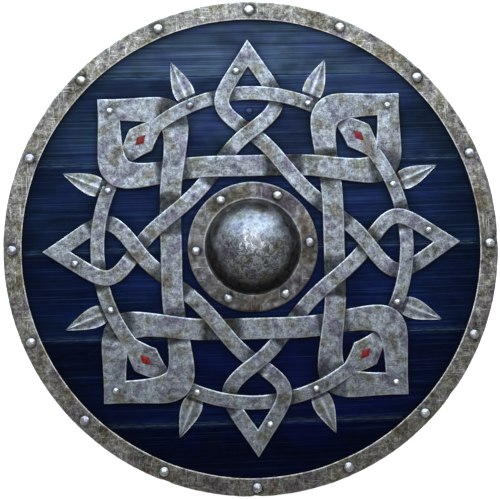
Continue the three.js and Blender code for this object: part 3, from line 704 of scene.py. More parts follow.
def boss_section():
    """From the crown down the outside, round the flange and up the inside."""
    rise = BOSS_TOP - FLANGE_TOP
    inner_r, inner_rise = BOSS_DOME_R - BOSS_SHEET, rise - BOSS_SHEET
    dome = [(BOSS_DOME_R * math.sin(t), FLANGE_TOP + rise * math.cos(t), 1.0)
            for t in np.linspace(0, math.pi / 2, 56)]
    neck = [(BOSS_DOME_R + 0.5 * MM, FLANGE_TOP - 0.35 * MM, 0.0),
            (BOSS_DOME_R + 1.6 * MM, FLANGE_TOP - 0.45 * MM, 0.0), (BOSS_DOME_R + 2.4 * MM, FLANGE_TOP, 0.0)]
    flange = [(r, FLANGE_TOP, 0.3)
              for r in np.linspace(BOSS_DOME_R + 3.2 * MM, BOSS_FLANGE_R - 0.8 * MM, 14)]
    edge = [(BOSS_FLANGE_R - 0.2 * MM, FLANGE_TOP - 0.3 * MM, 0.2),
            (BOSS_FLANGE_R, FLANGE_TOP - 0.9 * MM, 0.2),
            (BOSS_FLANGE_R, PLANK_TOP, 0.0), (inner_r, PLANK_TOP, 0.0)]
    inside = [(inner_r * math.sin(t), FLANGE_TOP + inner_rise * math.cos(t), 0.3)
              for t in np.linspace(math.pi / 2, 0, 24)]
    section = []
    for r, z, hammered in dome + neck + flange + edge + inside:
        on_flange = z > FLANGE_TOP - 0.5 * MM and r > BOSS_DOME_R
        # A painted highlight round the dome's foot and the flange's edge, and painted shade in the groove at
        # the foot
        ring = fading(abs(r - BOSS_DOME_R - 2.7 * MM), 0.9 * MM) if on_flange else 0
        rim = fading(abs(r - BOSS_FLANGE_R), 1.3 * MM)
        groove = fading(abs(r - BOSS_DOME_R - 0.9 * MM), 1.6 * MM) if z < FLANGE_TOP + 3 * MM else 0
        section.append((0, max(r, 0.0), z, 0, min(1.0, 0.9 * ring + 0.7 * rim), groove, hammered))
    return section


# Handling polishes the boss's crown and crazes it; its upper half is painted bright as a highlight and crazed
# less, and painted shade darkens its foot, most on this side
BOSS_SHADED_SIDE = (0.42, -0.91)


def make_boss(tree, steel):
    piece = swept("boss_shell", tree, circular_path(256), boss_section(), False, BOSS_HAMMERING, 4.0, steel)
    points = get_attribute(piece.data, "position", 3)
    radius = np.maximum(1e-6, np.hypot(points[:, 0], points[:, 1]))
    on_flange = (points[:, 2] > PLANK_TOP) & (radius > BOSS_DOME_R + 2 * MM)
    on_dome = (points[:, 2] > FLANGE_TOP) & ~on_flange
    # The dome's foot is painted dark as shade, climbing highest on the shaded side
    shaded_side = 0.5 + 0.5 * (points[:, :2] @ BOSS_SHADED_SIDE) / radius
    climb = (4 + 24 * np.clip((shaded_side - 0.02) / 0.36, 0, 1)) * MM
    foot = 3 * np.exp(-(((points[:, 2] - FLANGE_TOP) / climb) ** 2))
    # A dark ring of dirt and painted shadow round each rivet
    round_rivets = 0.65 * on_flange * dirt_and_shadow_round(points, BOSS_RIVETS, 6.1 * MM, 2.6 * MM)
    grime = np.maximum(get_attribute(piece.data, "grime"), round_rivets)
    grime = np.where(on_dome, np.clip(np.maximum(grime, foot), 0, 1), grime)
    crown = np.clip(1 - (radius / (0.85 * BOSS_DOME_R)) ** 2, 0, 1) * on_dome
    upper = np.clip(points[:, 1] / (0.5 * BOSS_DOME_R), 0, 1)
    # Polish and highlights fade on the shaded side, and the upper half gets a painted highlight
    worn = get_attribute(piece.data, "worn") * (1 - 0.75 * shaded_side) + (0.18 + 0.32 * upper) * crown
    set_attribute(piece.data, "worn", worn)
    set_attribute(piece.data, "crazed", 0.95 * crown * (1 - 0.8 * upper))
    set_attribute(piece.data, "grime", grime)
    tidy_attributes(piece.data)
    finished_piece(cleaned(piece), "boss_steel", "boss")


# The interlace: three closed bands in the same places as the plate's, and the leaves on the ring

KNOT_SPAN = RIM_INNER_R - BOSS_FLANGE_R
KNOT_BOSS_GAP = 7 * MM
BROAD_NARROW, BROAD_WIDE, SLIM_STRAP = 26 * MM, 37 * MM, 18.5 * MM
RING_STRAP, CARTOUCHE_WIDTH, CARTOUCHE_LENGTH = 17 * MM, 38 * MM, 54 * MM
LEAF_WIDTH, LEAF_TIP_SHARE, LEAF_BELLY, LEAF_COUNT = 25 * MM, 0.84, 0.62, 8
RING_R = BOSS_FLANGE_R + 0.545 * KNOT_SPAN
BAND_STEP = 2.2 * MM
SHARP_TURN_COSINE = 0.8
KNOT_HAMMERING = (9 * MM, 0.3 * MM)

BROAD_SQUARE = {
    "side_r": BOSS_FLANGE_R + KNOT_BOSS_GAP + BROAD_NARROW / 2,
    "cross_r": BOSS_FLANGE_R + 0.277 * KNOT_SPAN, "cross_angle": 54, "cross_pull": 0.416 * KNOT_SPAN,
    "tip_r": BOSS_FLANGE_R + 0.812 * KNOT_SPAN, "tip_angle": 44, "tip_pull": 0.396 * KNOT_SPAN,
    "turn": 0.0,
}
SLIM_SQUARE = {
    "side_r": BOSS_FLANGE_R + KNOT_BOSS_GAP + SLIM_STRAP / 2,
    "cross_r": BOSS_FLANGE_R + 0.307 * KNOT_SPAN, "cross_angle": 55, "cross_pull": 0.307 * KNOT_SPAN,
    "tip_r": BOSS_FLANGE_R + 0.792 * KNOT_SPAN, "tip_angle": 33, "tip_pull": 0.347 * KNOT_SPAN,
    "turn": math.pi / 4,
}


def broad_width(share):
    return BROAD_NARROW + (BROAD_WIDE - BROAD_NARROW) * np.exp(-(((share - 0.66) / 0.2) ** 2))


def slim_width(share):
    return np.full_like(share, SLIM_STRAP)


def bezier(points, steps):
    t = np.linspace(0, 1, steps)[:, None]
    a, b, c, d = (np.array(p) for p in points)
    return (1 - t) ** 3 * a + 3 * (1 - t) ** 2 * t * b + 3 * (1 - t) * t ** 2 * c + t ** 3 * d


def looped_square(square, width_of, steps=120):
    """A closed band as centre points and widths: four sides joined by pointed loops on the diagonals."""
    diagonal = math.pi / 4
    heading_angle = diagonal - math.radians(square["cross_angle"])
    tip_angle = diagonal + math.pi + math.radians(square["tip_angle"])
    heading = np.array([math.cos(heading_angle), math.sin(heading_angle)])
    outward = np.array([math.cos(diagonal), math.sin(diagonal)])
    start = np.array([0, square["side_r"]])
    cross, tip = outward * square["cross_r"], outward * square["tip_r"]
    pull = np.linalg.norm(cross - start) * 0.36
    side = bezier([start, start + (pull, 0), cross - heading * pull, cross], steps // 3)
    back = np.array([math.cos(tip_angle), math.sin(tip_angle)]) * square["tip_pull"]
    loop = bezier([cross, cross + heading * square["cross_pull"], tip + back, tip], steps)
    eighth = np.vstack([side, loop[1:]])
    # The width's share is counted along a polygon of 13 and 27 equal steps, as on the plate
    share = np.concatenate([np.linspace(0, 13 / 40, len(side)), np.linspace(13 / 40, 1, len(loop))[1:]])
    widths = width_of(share)
    quarter = np.vstack([eighth, eighth[1:-1][::-1, ::-1]])
    quarter_widths = np.concatenate([widths, widths[1:-1][::-1]])
    turns = [square["turn"] - k * math.pi / 2 for k in range(4)]
    turned = [quarter @ np.array([[math.cos(a), math.sin(a)], [-math.sin(a), math.cos(a)]]) for a in turns]
    return np.vstack(turned), np.tile(quarter_widths, 4)


def ring_band(steps=720):
    angle = np.arange(steps) * 2 * math.pi / steps
    to_diagonal = np.abs(angle % (math.pi / 2) - math.pi / 4) * RING_R
    swelling = fading(to_diagonal, CARTOUCHE_LENGTH / 2)
    points = np.column_stack([np.cos(angle), np.sin(angle)]) * RING_R
    return points, RING_STRAP + (CARTOUCHE_WIDTH - RING_STRAP) * swelling


def evenly_spaced(points, widths):
    """The band with a point about every BAND_STEP, keeping its sharp corners."""
    steps = np.linalg.norm(np.roll(points, -1, 0) - points, axis=1)
    travelled = np.concatenate([[0], np.cumsum(steps)])
    turning = np.sum((points - np.roll(points, 1, 0)) * (np.roll(points, -1, 0) - points), axis=1)
    sharp = turning < SHARP_TURN_COSINE * steps * np.roll(steps, 1)
    stops = [*travelled[:-1][sharp], travelled[-1]]
    places = []
    low = 0.0
    for high in stops:
        count = max(2, round((high - low) / BAND_STEP))
        places += list(np.linspace(low, high, count, endpoint=False))
        low = high
    closed = np.vstack([points, points[:1]])
    closed_widths = np.append(widths, widths[0])
    x, y = (np.interp(places, travelled, closed[:, k]) for k in (0, 1))
    return {"points": np.column_stack([x, y]), "widths": np.interp(places, travelled, closed_widths),
            "travelled": np.array(places), "length": travelled[-1]}


def with_frames(band):
    """Adds the band's direction at each point, the direction across it, and its pointed corners."""
    points = band["points"]
    into = points - np.roll(points, 1, 0)
    out = np.roll(points, -1, 0) - points
    into /= np.linalg.norm(into, axis=1)[:, None]
    out /= np.linalg.norm(out, axis=1)[:, None]
    along = into + out
    along /= np.linalg.norm(along, axis=1)[:, None]
    cosine = np.sum(along * out, axis=1)
    band["along"] = along
    band["across"] = np.column_stack([-along[:, 1], along[:, 0]]) / cosine[:, None]
    band["corners"] = np.flatnonzero(np.sum(into * out, axis=1) < SHARP_TURN_COSINE)
    return band


def crossing_shares(a, c):
    """For each stretch of one band and of another, where they meet, as shares of both."""
    first, second = np.roll(a, -1, 0) - a, np.roll(c, -1, 0) - c
    turn = first[:, None, 0] * second[None, :, 1] - first[:, None, 1] * second[None, :, 0]
    gap = c[None] - a[:, None]
    with np.errstate(divide="ignore", invalid="ignore"):
        share = (gap[..., 0] * second[None, :, 1] - gap[..., 1] * second[None, :, 0]) / turn
        other_share = (gap[..., 0] * first[:, None, 1] - gap[..., 1] * first[:, None, 0]) / turn
    return share, other_share


def visit_to(bands, number, at, share):
    band = bands[number]
    step = band["points"][(at + 1) % len(band["points"])] - band["points"][at]
    return {"band": number, "travelled": band["travelled"][at] + share * np.linalg.norm(step),
            "along": step / np.linalg.norm(step), "width": band["widths"][at],
            "place": band["points"][at] + share * step}


def find_crossings(bands):
    """Each crossing as two visits, with the band's number, distance along it, heading and width there."""
    found = []
    slack = 1e-6
    for i, one in enumerate(bands):
        for j in range(i, len(bands)):
            share, other_share = crossing_shares(one["points"], bands[j]["points"])
            hits = (share > -slack) & (share < 1 + slack) & (other_share > -slack) & (other_share < 1 + slack)
            for k, m in zip(*np.nonzero(hits)):
                apart = abs(k - m)
                if i == j and (m <= k or min(apart, len(one["points"]) - apart) < 3):
                    continue
                pair = visit_to(bands, i, k, share[k, m]), visit_to(bands, j, m, other_share[k, m])
                if all(np.linalg.norm(pair[0]["place"] - old[0]["place"]) > 1 * MM for old in found):
                    found.append(pair)
    return found


def weave(pairs):
    """Marks each visit as over or under, in turn along every band."""
    visits = []
    for one, other in pairs:
        one["other"], other["other"] = other, one
        visits += [one, other]
    for visit in visits:
        visit["next"] = []
    for number in {visit["band"] for visit in visits}:
        on_band = sorted((v for v in visits if v["band"] == number), key=lambda v: v["travelled"])
        for visit, following in zip(on_band, on_band[1:] + on_band[:1]):
            visit["next"].append(following)
            following["next"].append(visit)
    visits[0]["over"] = True
    waiting = [visits[0]]
    while waiting:
        visit = waiting.pop()
        for following in [visit["other"], *visit["next"]]:
            if "over" not in following:
                following["over"] = not visit["over"]
                waiting.append(following)
    return visits


def low_half_length(visit):
    """How far a band stays low on each side of a crossing that it goes under."""
    other = visit["other"]
    sine = abs(visit["along"][0] * other["along"][1] - visit["along"][1] * other["along"][0])
    cosine = abs(visit["along"] @ other["along"])
    return (other["width"] / 2 + cosine * visit["width"] / 2) / sine + 0.3 * MM


def lowered(band, unders):
    """How far the band's top is lowered at each of its points, and how near the band above each one is, for a
    painted shade there.
    """
    drop = np.zeros(len(band["points"]))
    shade = np.zeros(len(band["points"]))
    for visit in unders:
        apart = np.abs(band["travelled"] - visit["travelled"]) % band["length"]
        apart = np.minimum(apart, band["length"] - apart) - low_half_length(visit)
        ramped = fading(apart, KNOT_RAMP)
        drop = np.maximum(drop, ramped * ramped * (3 - 2 * ramped))
        shade = np.maximum(shade, fading(apart + 1.5 * MM, 6 * MM))
    return drop * KNOT_DIP, 0.9 * shade


# Half of a strap's section, from its edge inwards in millimetres: inset, depth below the top, shine as polish
# and a painted edge highlight, dirt with painted shade
STRAP_EDGE = ((0.0, 0.8, 0.4, 0.1), (0.25, 0.35, 0.9, 0.0), (0.7, 0.1, 0.75, 0.0), (1.4, 0.02, 0.25, 0.0),
              (2.2, 0.0, 0.0, 0.0), (4.5, 0.0, 0.0, 0.0), (6.5, 0.0, 0.0, 0.0))


def strap_section():
    """A row has its side, shift, level, share of the drop, polish with painted highlight, soiling with
    painted shade and hammering.
    """
    # Where the strap meets the plank, and at its very edge, it is painted dark as shade
    left = [(1, 0, PLANK_TOP, 0, 0, 0.5, 0)]
    left += [(1, -inset * MM, KNOT_TOP - depth * MM, 1, shine, dirt, 1)
             for inset, depth, shine, dirt in STRAP_EDGE]
    right = [(-side, -shift, *rest) for side, shift, *rest in reversed(left)]
    return [*left, (0, 0, KNOT_TOP, 1, 0, 0, 1), *right]


def strap(tree, band, number, unders, steel):
    """One band of the interlace as points, faces, polish with painted highlight, and soiling with painted
    shade.
    """
    drop, shade = lowered(band, unders)
    flat = np.zeros(len(drop))
    centre, across = (np.column_stack([band[key], flat]) for key in ("points", "across"))
    path = {"centre": centre, "across": across, "half": band["widths"] / 2, "drop": drop, "shade": shade}
    section = strap_section()
    piece = swept(f"strap_{number}", tree, path, section, True, KNOT_HAMMERING, 7.0 + number, steel)
    numbers = [get_attribute(piece.data, name) for name in ("section_number", "path_number")]
    order = np.lexsort(numbers)
    points = get_attribute(piece.data, "position", 3)
    grid = points[order].reshape(len(drop), len(section), 3)
    keep_inside_corners(band, grid)
    points[order] = grid.reshape(-1, 3)
    set_attribute(piece.data, "position", points)
    parts = parts_of(piece)
    bpy.data.objects.remove(piece)
    return parts


def keep_inside_corners(band, grid):
    """Near a pointed corner the inner offsets would cross its middle line, so they stop on it."""
    points = band["points"]
    for corner in band["corners"]:
        middle = band["along"][corner]
        reach = int(band["widths"][corner] * 1.5 / BAND_STEP) + 2
        for step in range(1, reach):
            for sign in (-1, 1):
                i = (corner + sign * step) % len(points)
                beyond = (grid[i, :, :2] - points[corner]) @ middle * sign < 0
                grid[i, beyond, :2] = grid[corner, beyond, :2]


def parts_of(piece):
    """A piece's points, faces, polish with painted highlight, and soiling with painted shade, to be joined
    with another's.
    """
    mesh = piece.data
    points = get_attribute(mesh, "position", 3)
    faces = [tuple(face.vertices) for face in mesh.polygons]
    return points, faces, get_attribute(mesh, "worn"), get_attribute(mesh, "grime")


def leaf_mesh():
    """A pointed leaf along X with a raised midrib and hollowed halves. Across is 0 on the rib and 1 on the
    edge."""
    length = BOSS_FLANGE_R + LEAF_TIP_SHARE * KNOT_SPAN - RING_R
    root = RING_STRAP / 4 / length
    rows, columns = 40, 17
    tops = np.linspace(-1, 1, columns - 2)
    points, worn, grime = [], [], []
    for share in np.linspace(root, 1, rows):
        half = LEAF_WIDTH / 2 * math.sin(math.pi * min(share, 0.9999) ** LEAF_BELLY)
        for j in range(columns):
            top = 0 < j < columns - 1
            part = tops[j - 1] if top else 2 * j / (columns - 1) - 1
            across = abs(part)
            rib = fading(across, 0.22)
            hollow = 0.3 + 0.75 * math.sin(across * math.pi * 0.8) + 0.25 * across ** 4 - 0.25 * rib
            level = KNOT_TOP - hollow * MM if top else PLANK_TOP
            points.append((RING_R + share * length, part * half, level))
            # Polish and a painted highlight on the rib and edges; painted shade in the hollows and at the
            # root
            worn.append(0.7 * fading(across, 0.25) + fading(1 - across, 0.2))
            at_root = 1.0 if share < root + 0.12 else 0.0
            grime.append(max(0.35 * fading(abs(across - 0.4), 0.3), at_root))
    faces = grid_faces(rows, columns, close_columns=True)
    faces.append(tuple(range(columns)))
    return new_object("leaf", points, faces=faces, attributes={"worn": worn, "grime": grime})


def leaf_tree():
    """Copies of a leaf turned about the centre of the shield, as far apart as their number says."""
    tree = bpy.data.node_groups.new("leaves_around", "GeometryNodeTree")
    for name, kind in (("Leaf", "Geometry"), ("Count", "Int"), ("First Turn", "Float"),
                       ("Steel", "Material")):
        tree.interface.new_socket(name, in_out="INPUT", socket_type=f"NodeSocket{kind}")
    tree.interface.new_socket("Geometry", in_out="OUTPUT", socket_type="NodeSocketGeometry")
    given = node(tree, "NodeGroupInput").node.outputs
    places = node(tree, "GeometryNodePoints", {"Count": given["Count"]})
    number = node(tree, "GeometryNodeInputIndex")
    step = node(tree, "ShaderNodeMath", {0: 2 * math.pi, 1: given["Count"]}, operation="DIVIDE")
    turn = node(tree, "ShaderNodeMath", {0: number, 1: step, 2: given["First Turn"]},
                operation="MULTIPLY_ADD")
    rotation = node(tree, "ShaderNodeCombineXYZ", {2: turn})
    copies = node(tree, "GeometryNodeInstanceOnPoints", {
        "Points": places, "Instance": given["Leaf"], "Rotation": rotation})
    real = node(tree, "GeometryNodeRealizeInstances", {"Geometry": copies})
    steel = node(tree, "GeometryNodeSetMaterial", {"Geometry": real, "Material": given["Steel"]})
    node(tree, "NodeGroupOutput", {0: steel})
    return tree


def make_knot(tree, steel):
    shapes = [looped_square(BROAD_SQUARE, broad_width), looped_square(SLIM_SQUARE, slim_width), ring_band()]
    bands = [with_frames(evenly_spaced(*shape)) for shape in shapes]
    visits = weave(find_crossings(bands))
    groups = []
    for number, band in enumerate(bands):
        unders = [v for v in visits if v["band"] == number and not v["over"]]
        groups.append(strap(tree, band, number, unders, steel))
    leaves = leaf_mesh()
    set_modifier(leaves, leaf_tree(), {
        "Count": LEAF_COUNT, "First Turn": math.pi / LEAF_COUNT, "Steel": steel})
    groups.append(parts_of(leaves))
    bpy.data.objects.remove(leaves)

    first = np.cumsum([0] + [len(group[0]) for group in groups])
    faces = [tuple(start + k for k in face) for start, group in zip(first, groups) for face in group[1]]
    points, worn, grime = (np.concatenate([group[k] for group in groups]) for k in (0, 2, 3))
    # Dirt and painted shadow round each nail, with its highlight taken off there
    around = dirt_and_shadow_round(points, KNOT_NAILS, 4.5 * MM, 2.4 * MM)
    piece = new_object("interlace_plate", points, faces=faces, materials=[steel], attributes={
        "worn": worn * (1 - around), "grime": np.maximum(grime, 0.7 * around)})
    finished_piece(cleaned(piece), "knot_steel", "knot")
    return bands


# Planks: each is two matching sheets, front and back, joined round the edge


# A plank's front edge is rounded off: inset from the seam and depth below the face, in millimetres
PLANK_EDGE = ((0.0, 1.3), (0.3, 0.55), (0.9, 0.15), (1.9, 0.02))
PLANK_CUP = 0.14 * MM
BACK_SEAM_GAP = 0.02 * MM
HAND_HOLE_CUT = 40 * MM


def board_rows(low, high):
    """Positions across a plank, with how far the front face is rounded down there."""
    rows = [(low + inset * MM, depth * MM) for inset, depth in PLANK_EDGE]
    rows += [(y, 0.0) for y in np.linspace(low + 5 * MM, high - 5 * MM, 25)]
    return rows + [(high - inset * MM, depth * MM) for inset, depth in reversed(PLANK_EDGE)]


def distance_to_metal(points, bands):
    """Distance from each point of the face to the nearest strap or to the boss."""
    nearest = np.hypot(points[:, 0], points[:, 1]) - BOSS_FLANGE_R
    for band in bands:
        away = points[:, None, :2] - band["points"][None, ::2]
        away = np.hypot(away[..., 0], away[..., 1]) - band["widths"][None, ::2] / 2
        nearest = np.minimum(nearest, away.min(axis=1))
    return np.maximum(nearest, 0)


def board_wax_and_shade(front, bands):
    """Dark wax and painted shade along the straps, the boss and the nail, and painted shade towards the rim.
    """
    from_rim = np.maximum(0, RIM_INNER_R - np.hypot(front[:, 0], front[:, 1]))
    along_straps = 0.8 * np.exp(-distance_to_metal(front, bands) / (4.5 * MM))
    along_rim = 0.55 * np.exp(-from_rim / (20 * MM)) + 0.35 * np.exp(-from_rim / (4 * MM))
    round_nail = 0.8 * dirt_and_shadow_round(front, ["plank_nail"], 4 * MM, 2.5 * MM)
    return np.maximum(np.maximum(along_straps, along_rim), round_nail)


def make_board(number, bands, paint, wood):
    seams = [MIDDLE_SEAM + (k - PLANK_COUNT / 2) * PLANK_PITCH for k in range(PLANK_COUNT + 1)]
    low = -PLANK_R if number == 1 else seams[number - 1] + SEAM_GAP / 2
    high = PLANK_R if number == PLANK_COUNT else seams[number] - SEAM_GAP / 2
    columns = 180
    rows = board_rows(low, high)
    y = np.repeat([row[0] for row in rows], columns)
    rounding = np.repeat([row[1] for row in rows], columns)
    reach = np.sqrt(np.maximum(0, PLANK_R ** 2 - y ** 2))
    x = np.tile(np.linspace(-1, 1, columns), len(rows)) * reach
    # The planks all but touch at the back, so that no light comes through the seams
    spread = (SEAM_GAP - BACK_SEAM_GAP) / 2
    spread_low, spread_high = (0 if number == end else spread for end in (1, PLANK_COUNT))
    share = (y - low) / (high - low)
    back_y = y - spread_low * (1 - share) + spread_high * share
    back = np.column_stack([x, back_y, np.full_like(x, PLANK_BOTTOM)])
    cup = PLANK_CUP * (1 + smooth_noise(back, 80 * MM, number))
    front = np.column_stack([x, y, PLANK_TOP - rounding - cup])

    count = len(x)
    sheet = grid_faces(len(rows), columns)
    faces = sheet + [tuple(count + k for k in reversed(face)) for face in sheet]
    last = (len(rows) - 1) * columns
    border = [*range(columns), *range(2 * columns - 1, last, columns),
              *range(last + columns - 1, last - 1, -1), *range(last - columns, 0, -columns)]
    faces += [(b, a, count + a, count + b) for a, b in zip(border, border[1:] + border[:1])]
    slots = [0] * len(sheet) + [1] * (len(faces) - len(sheet))
    worn = fading(np.minimum(y - low, high - y), 2.4 * MM)
    bare = np.zeros(count)
    attributes = {"worn": np.concatenate([worn, bare]),
                  "grime": np.concatenate([board_wax_and_shade(front, bands), bare]),
                  "board": np.full(2 * count, board_place(number))}
    piece = new_object(f"board_{number}", np.vstack([front, back]), faces=faces, materials=[paint, wood],
                       face_materials=slots, attributes=attributes)
    cleaned(piece)
    if abs(low) < HAND_HOLE_R or abs(high) < HAND_HOLE_R:
        cut_hand_hole(piece)
    finished_piece(piece, "painted_planks", f"plank_{number}")


def board_place(number):
    """Where a plank stands among the plank tones, from 0 to 1."""
    return (number - 0.5) / PLANK_COUNT


def cut_hand_hole(piece):
    shape = bmesh.new()
    middle = Matrix.Translation((0, 0, (PLANK_TOP + PLANK_BOTTOM) / 2))
    bmesh.ops.create_cone(shape, cap_ends=True, segments=96, radius1=HAND_HOLE_R, radius2=HAND_HOLE_R,
                          depth=HAND_HOLE_CUT, matrix=middle)
    mesh = bpy.data.meshes.new("hand_hole")
    shape.to_mesh(mesh)
    shape.free()
    mesh.materials.append(piece.data.materials[1])
    cutter = bpy.data.objects.new("hand_hole", mesh)
    bpy.context.collection.objects.link(cutter)
    cut = piece.modifiers.new("hand_hole", "BOOLEAN")
    cut.object = cutter
    cut.solver = "EXACT"
    cut.material_mode = "TRANSFER"
    finish_modifiers(piece)
    bpy.data.objects.remove(cutter)
    bpy.data.meshes.remove(mesh)


# Rivets and nails

# Width and height of a head, and of what shows behind the plank, in millimetres
RIM_RIVET_HEAD, BOSS_RIVET_HEAD, KNOT_NAIL_HEAD, PLANK_NAIL_HEAD = (12.6, 3.4), (12.2, 3.6), (9, 2.8), (8, 2)
RIVET_TAIL = (9, 1.6)
NO_TAIL = (0, 0)
# How far a head is sunk into the steel or the wood that it was hammered down on
RIVET_SINK, KNOT_NAIL_SINK, PLANK_NAIL_SINK = 0.3 * MM, 0.25 * MM, 0.2 * MM
# Hammer marks on the heads: how many to the metre, and how far they move the surface
HEAD_MARKS, HEAD_MARK_DEPTH = 260.0, 1.1 * MM


def dome(tree, segments, rings, across, up):
    """Half a ball on a flat base, polished bright on top with a painted highlight, and painted dark at its
    foot as shade.
    """
    ball = node(tree, "GeometryNodeMeshUVSphere", {"Segments": segments, "Rings": rings, "Radius": 0.5})
    place = node(tree, "ShaderNodeSeparateXYZ", {0: node(tree, "GeometryNodeInputPosition")}).node.outputs
    level = node(tree, "ShaderNodeMath", {0: place[2], 1: 0.0}, operation="MAXIMUM")
    level = node(tree, "ShaderNodeMath", {0: level, 1: 2.0}, operation="MULTIPLY")
    flat = node(tree, "ShaderNodeCombineXYZ", {0: place[0], 1: place[1], 2: level})
    shape = node(tree, "GeometryNodeSetPosition", {"Geometry": ball, "Position": flat})
    height = node(tree, "ShaderNodeSeparateXYZ", {0: node(tree, "GeometryNodeInputPosition")}, 2)
    # Polish with a painted highlight on top, painted shade at the foot
    for name, low, high, at_low, at_high in (("worn", 0.4, 1.0, 0.0, 0.6), ("grime", 0.0, 0.16, 0.5, 0.0)):
        value = node(tree, "ShaderNodeMapRange", {0: height, 1: low, 2: high, 3: at_low, 4: at_high})
        shape = node(tree, "GeometryNodeStoreNamedAttribute", {
            "Geometry": shape, "Name": name, "Value": value}, data_type="FLOAT")
    size = node(tree, "ShaderNodeCombineXYZ", {0: across, 1: across, 2: up})
    return node(tree, "GeometryNodeTransform", {"Geometry": shape, "Scale": size})


def copies_on_places(tree, given, shape, seat, seed_shift):
    """The shape on each place, lifted to its seat, a little leaning, turned and sized by chance."""
    places = node(tree, "GeometryNodeMeshToPoints", {"Mesh": given["Geometry"]})
    seed = node(tree, "ShaderNodeMath", {0: given["Seed"], 1: seed_shift}, operation="ADD")
    turn = node(tree, "FunctionNodeRandomValue", {2: 0.0, 3: 2 * math.pi, "Seed": seed}, 1, data_type="FLOAT")
    size = node(tree, "FunctionNodeRandomValue", {2: 0.93, 3: 1.0, "Seed": seed}, 1, data_type="FLOAT")
    lean = node(tree, "FunctionNodeRandomValue", {0: (-0.05,) * 3, 1: (0.05,) * 3, "Seed": seed},
                data_type="FLOAT_VECTOR")
    lean = node(tree, "ShaderNodeSeparateXYZ", {0: lean}).node.outputs
    rotation = node(tree, "ShaderNodeCombineXYZ", {0: lean[0], 1: lean[1], 2: turn})
    copies = node(tree, "GeometryNodeInstanceOnPoints", {
        "Points": places, "Instance": shape, "Rotation": rotation, "Scale": size})
    lift = node(tree, "ShaderNodeCombineXYZ", {2: seat})
    return node(tree, "GeometryNodeTranslateInstances", {
        "Instances": copies, "Translation": lift, "Local Space": False})


def rivet_tree():
    """A hammered dome on each place, and behind it a square washer with the clenched end of the shank."""
    tree = bpy.data.node_groups.new("hammered_rivets", "GeometryNodeTree")
    tree.interface.new_socket("Geometry", in_out="INPUT", socket_type="NodeSocketGeometry")
    for name in ("Head Width", "Head Height", "Tail Width", "Tail Depth", "Seat", "Tail Seat"):
        tree.interface.new_socket(name, in_out="INPUT", socket_type="NodeSocketFloat")
    tree.interface.new_socket("Has Tails", in_out="INPUT", socket_type="NodeSocketBool")
    tree.interface.new_socket("Seed", in_out="INPUT", socket_type="NodeSocketInt")
    tree.interface.new_socket("Finish", in_out="INPUT", socket_type="NodeSocketMaterial")
    tree.interface.new_socket("Geometry", in_out="OUTPUT", socket_type="NodeSocketGeometry")
    given = node(tree, "NodeGroupInput").node.outputs
    head = dome(tree, 24, 14, given["Head Width"], given["Head Height"])

    half_depth = node(tree, "ShaderNodeMath", {0: given["Tail Depth"], 1: 0.5}, operation="MULTIPLY")
    size = node(tree, "ShaderNodeCombineXYZ", {0: given["Tail Width"], 1: given["Tail Width"], 2: half_depth})
    washer = node(tree, "GeometryNodeMeshCube", {"Size": size})
    washer_seat = node(tree, "ShaderNodeMath", {0: half_depth, 1: -0.5, 2: given["Tail Seat"]},
                       operation="MULTIPLY_ADD")
    end_width = node(tree, "ShaderNodeMath", {0: given["Tail Width"], 1: 0.7}, operation="MULTIPLY")
    end_depth = node(tree, "ShaderNodeMath", {0: half_depth, 1: -1.0}, operation="MULTIPLY")
    end = node(tree, "GeometryNodeFlipFaces", {"Mesh": dome(tree, 16, 8, end_width, end_depth)})
    end_seat = node(tree, "ShaderNodeMath", {0: half_depth, 1: -0.96, 2: given["Tail Seat"]},
                    operation="MULTIPLY_ADD")
    washers = copies_on_places(tree, given, washer, washer_seat, 5)
    ends = copies_on_places(tree, given, end, end_seat, 9)
    tails = node(tree, "GeometryNodeJoinGeometry", {0: [washers, ends]})
    tails = node(tree, "GeometryNodeSwitch", {"Switch": given["Has Tails"], "True": tails},
                 input_type="GEOMETRY")
    heads = copies_on_places(tree, given, head, given["Seat"], 0)
    joined = node(tree, "GeometryNodeJoinGeometry", {0: [heads, tails]})

    real = node(tree, "GeometryNodeRealizeInstances", {"Geometry": joined})
    marks = node(tree, "ShaderNodeTexNoise", {"Scale": HEAD_MARKS, "Detail": 1.0}, "Color")
    marks = node(tree, "ShaderNodeVectorMath", {0: marks, 1: (-0.5,) * 3}, operation="ADD")
    marks = node(tree, "ShaderNodeVectorMath", {0: marks, 3: HEAD_MARK_DEPTH}, operation="SCALE")
    hammered = node(tree, "GeometryNodeSetPosition", {"Geometry": real, "Offset": marks})
    smooth = node(tree, "GeometryNodeSetShadeSmooth", {"Geometry": hammered})
    finish = node(tree, "GeometryNodeSetMaterial", {"Geometry": smooth, "Material": given["Finish"]})
    node(tree, "NodeGroupOutput", {0: finish})
    return tree


def make_rivets(name, tree, nodes, head, seat, seed, finish, slot, tail=NO_TAIL, tail_seat=0):
    """Places the heads over the frame's own rivets. Head and tail are width and height in millimetres."""
    places = [(centre_of(n).x, centre_of(n).y, 0) for n in nodes]
    piece = new_object(name, places)
    set_modifier(piece, tree, {
        "Head Width": head[0] * MM, "Head Height": head[1] * MM, "Seat": seat,
        "Tail Width": tail[0] * MM, "Tail Depth": tail[1] * MM, "Tail Seat": tail_seat,
        "Has Tails": any(tail), "Seed": seed, "Finish": finish})
    piece.data.set_sharp_from_angle(angle=math.radians(50))
    finished_piece(piece, slot, *nodes)
    return piece


ENAMEL_HALF_WIDTH, ENAMEL_HALF_LENGTH = 7 * MM, 12 * MM
ENAMEL_WALL = 0.4 * MM


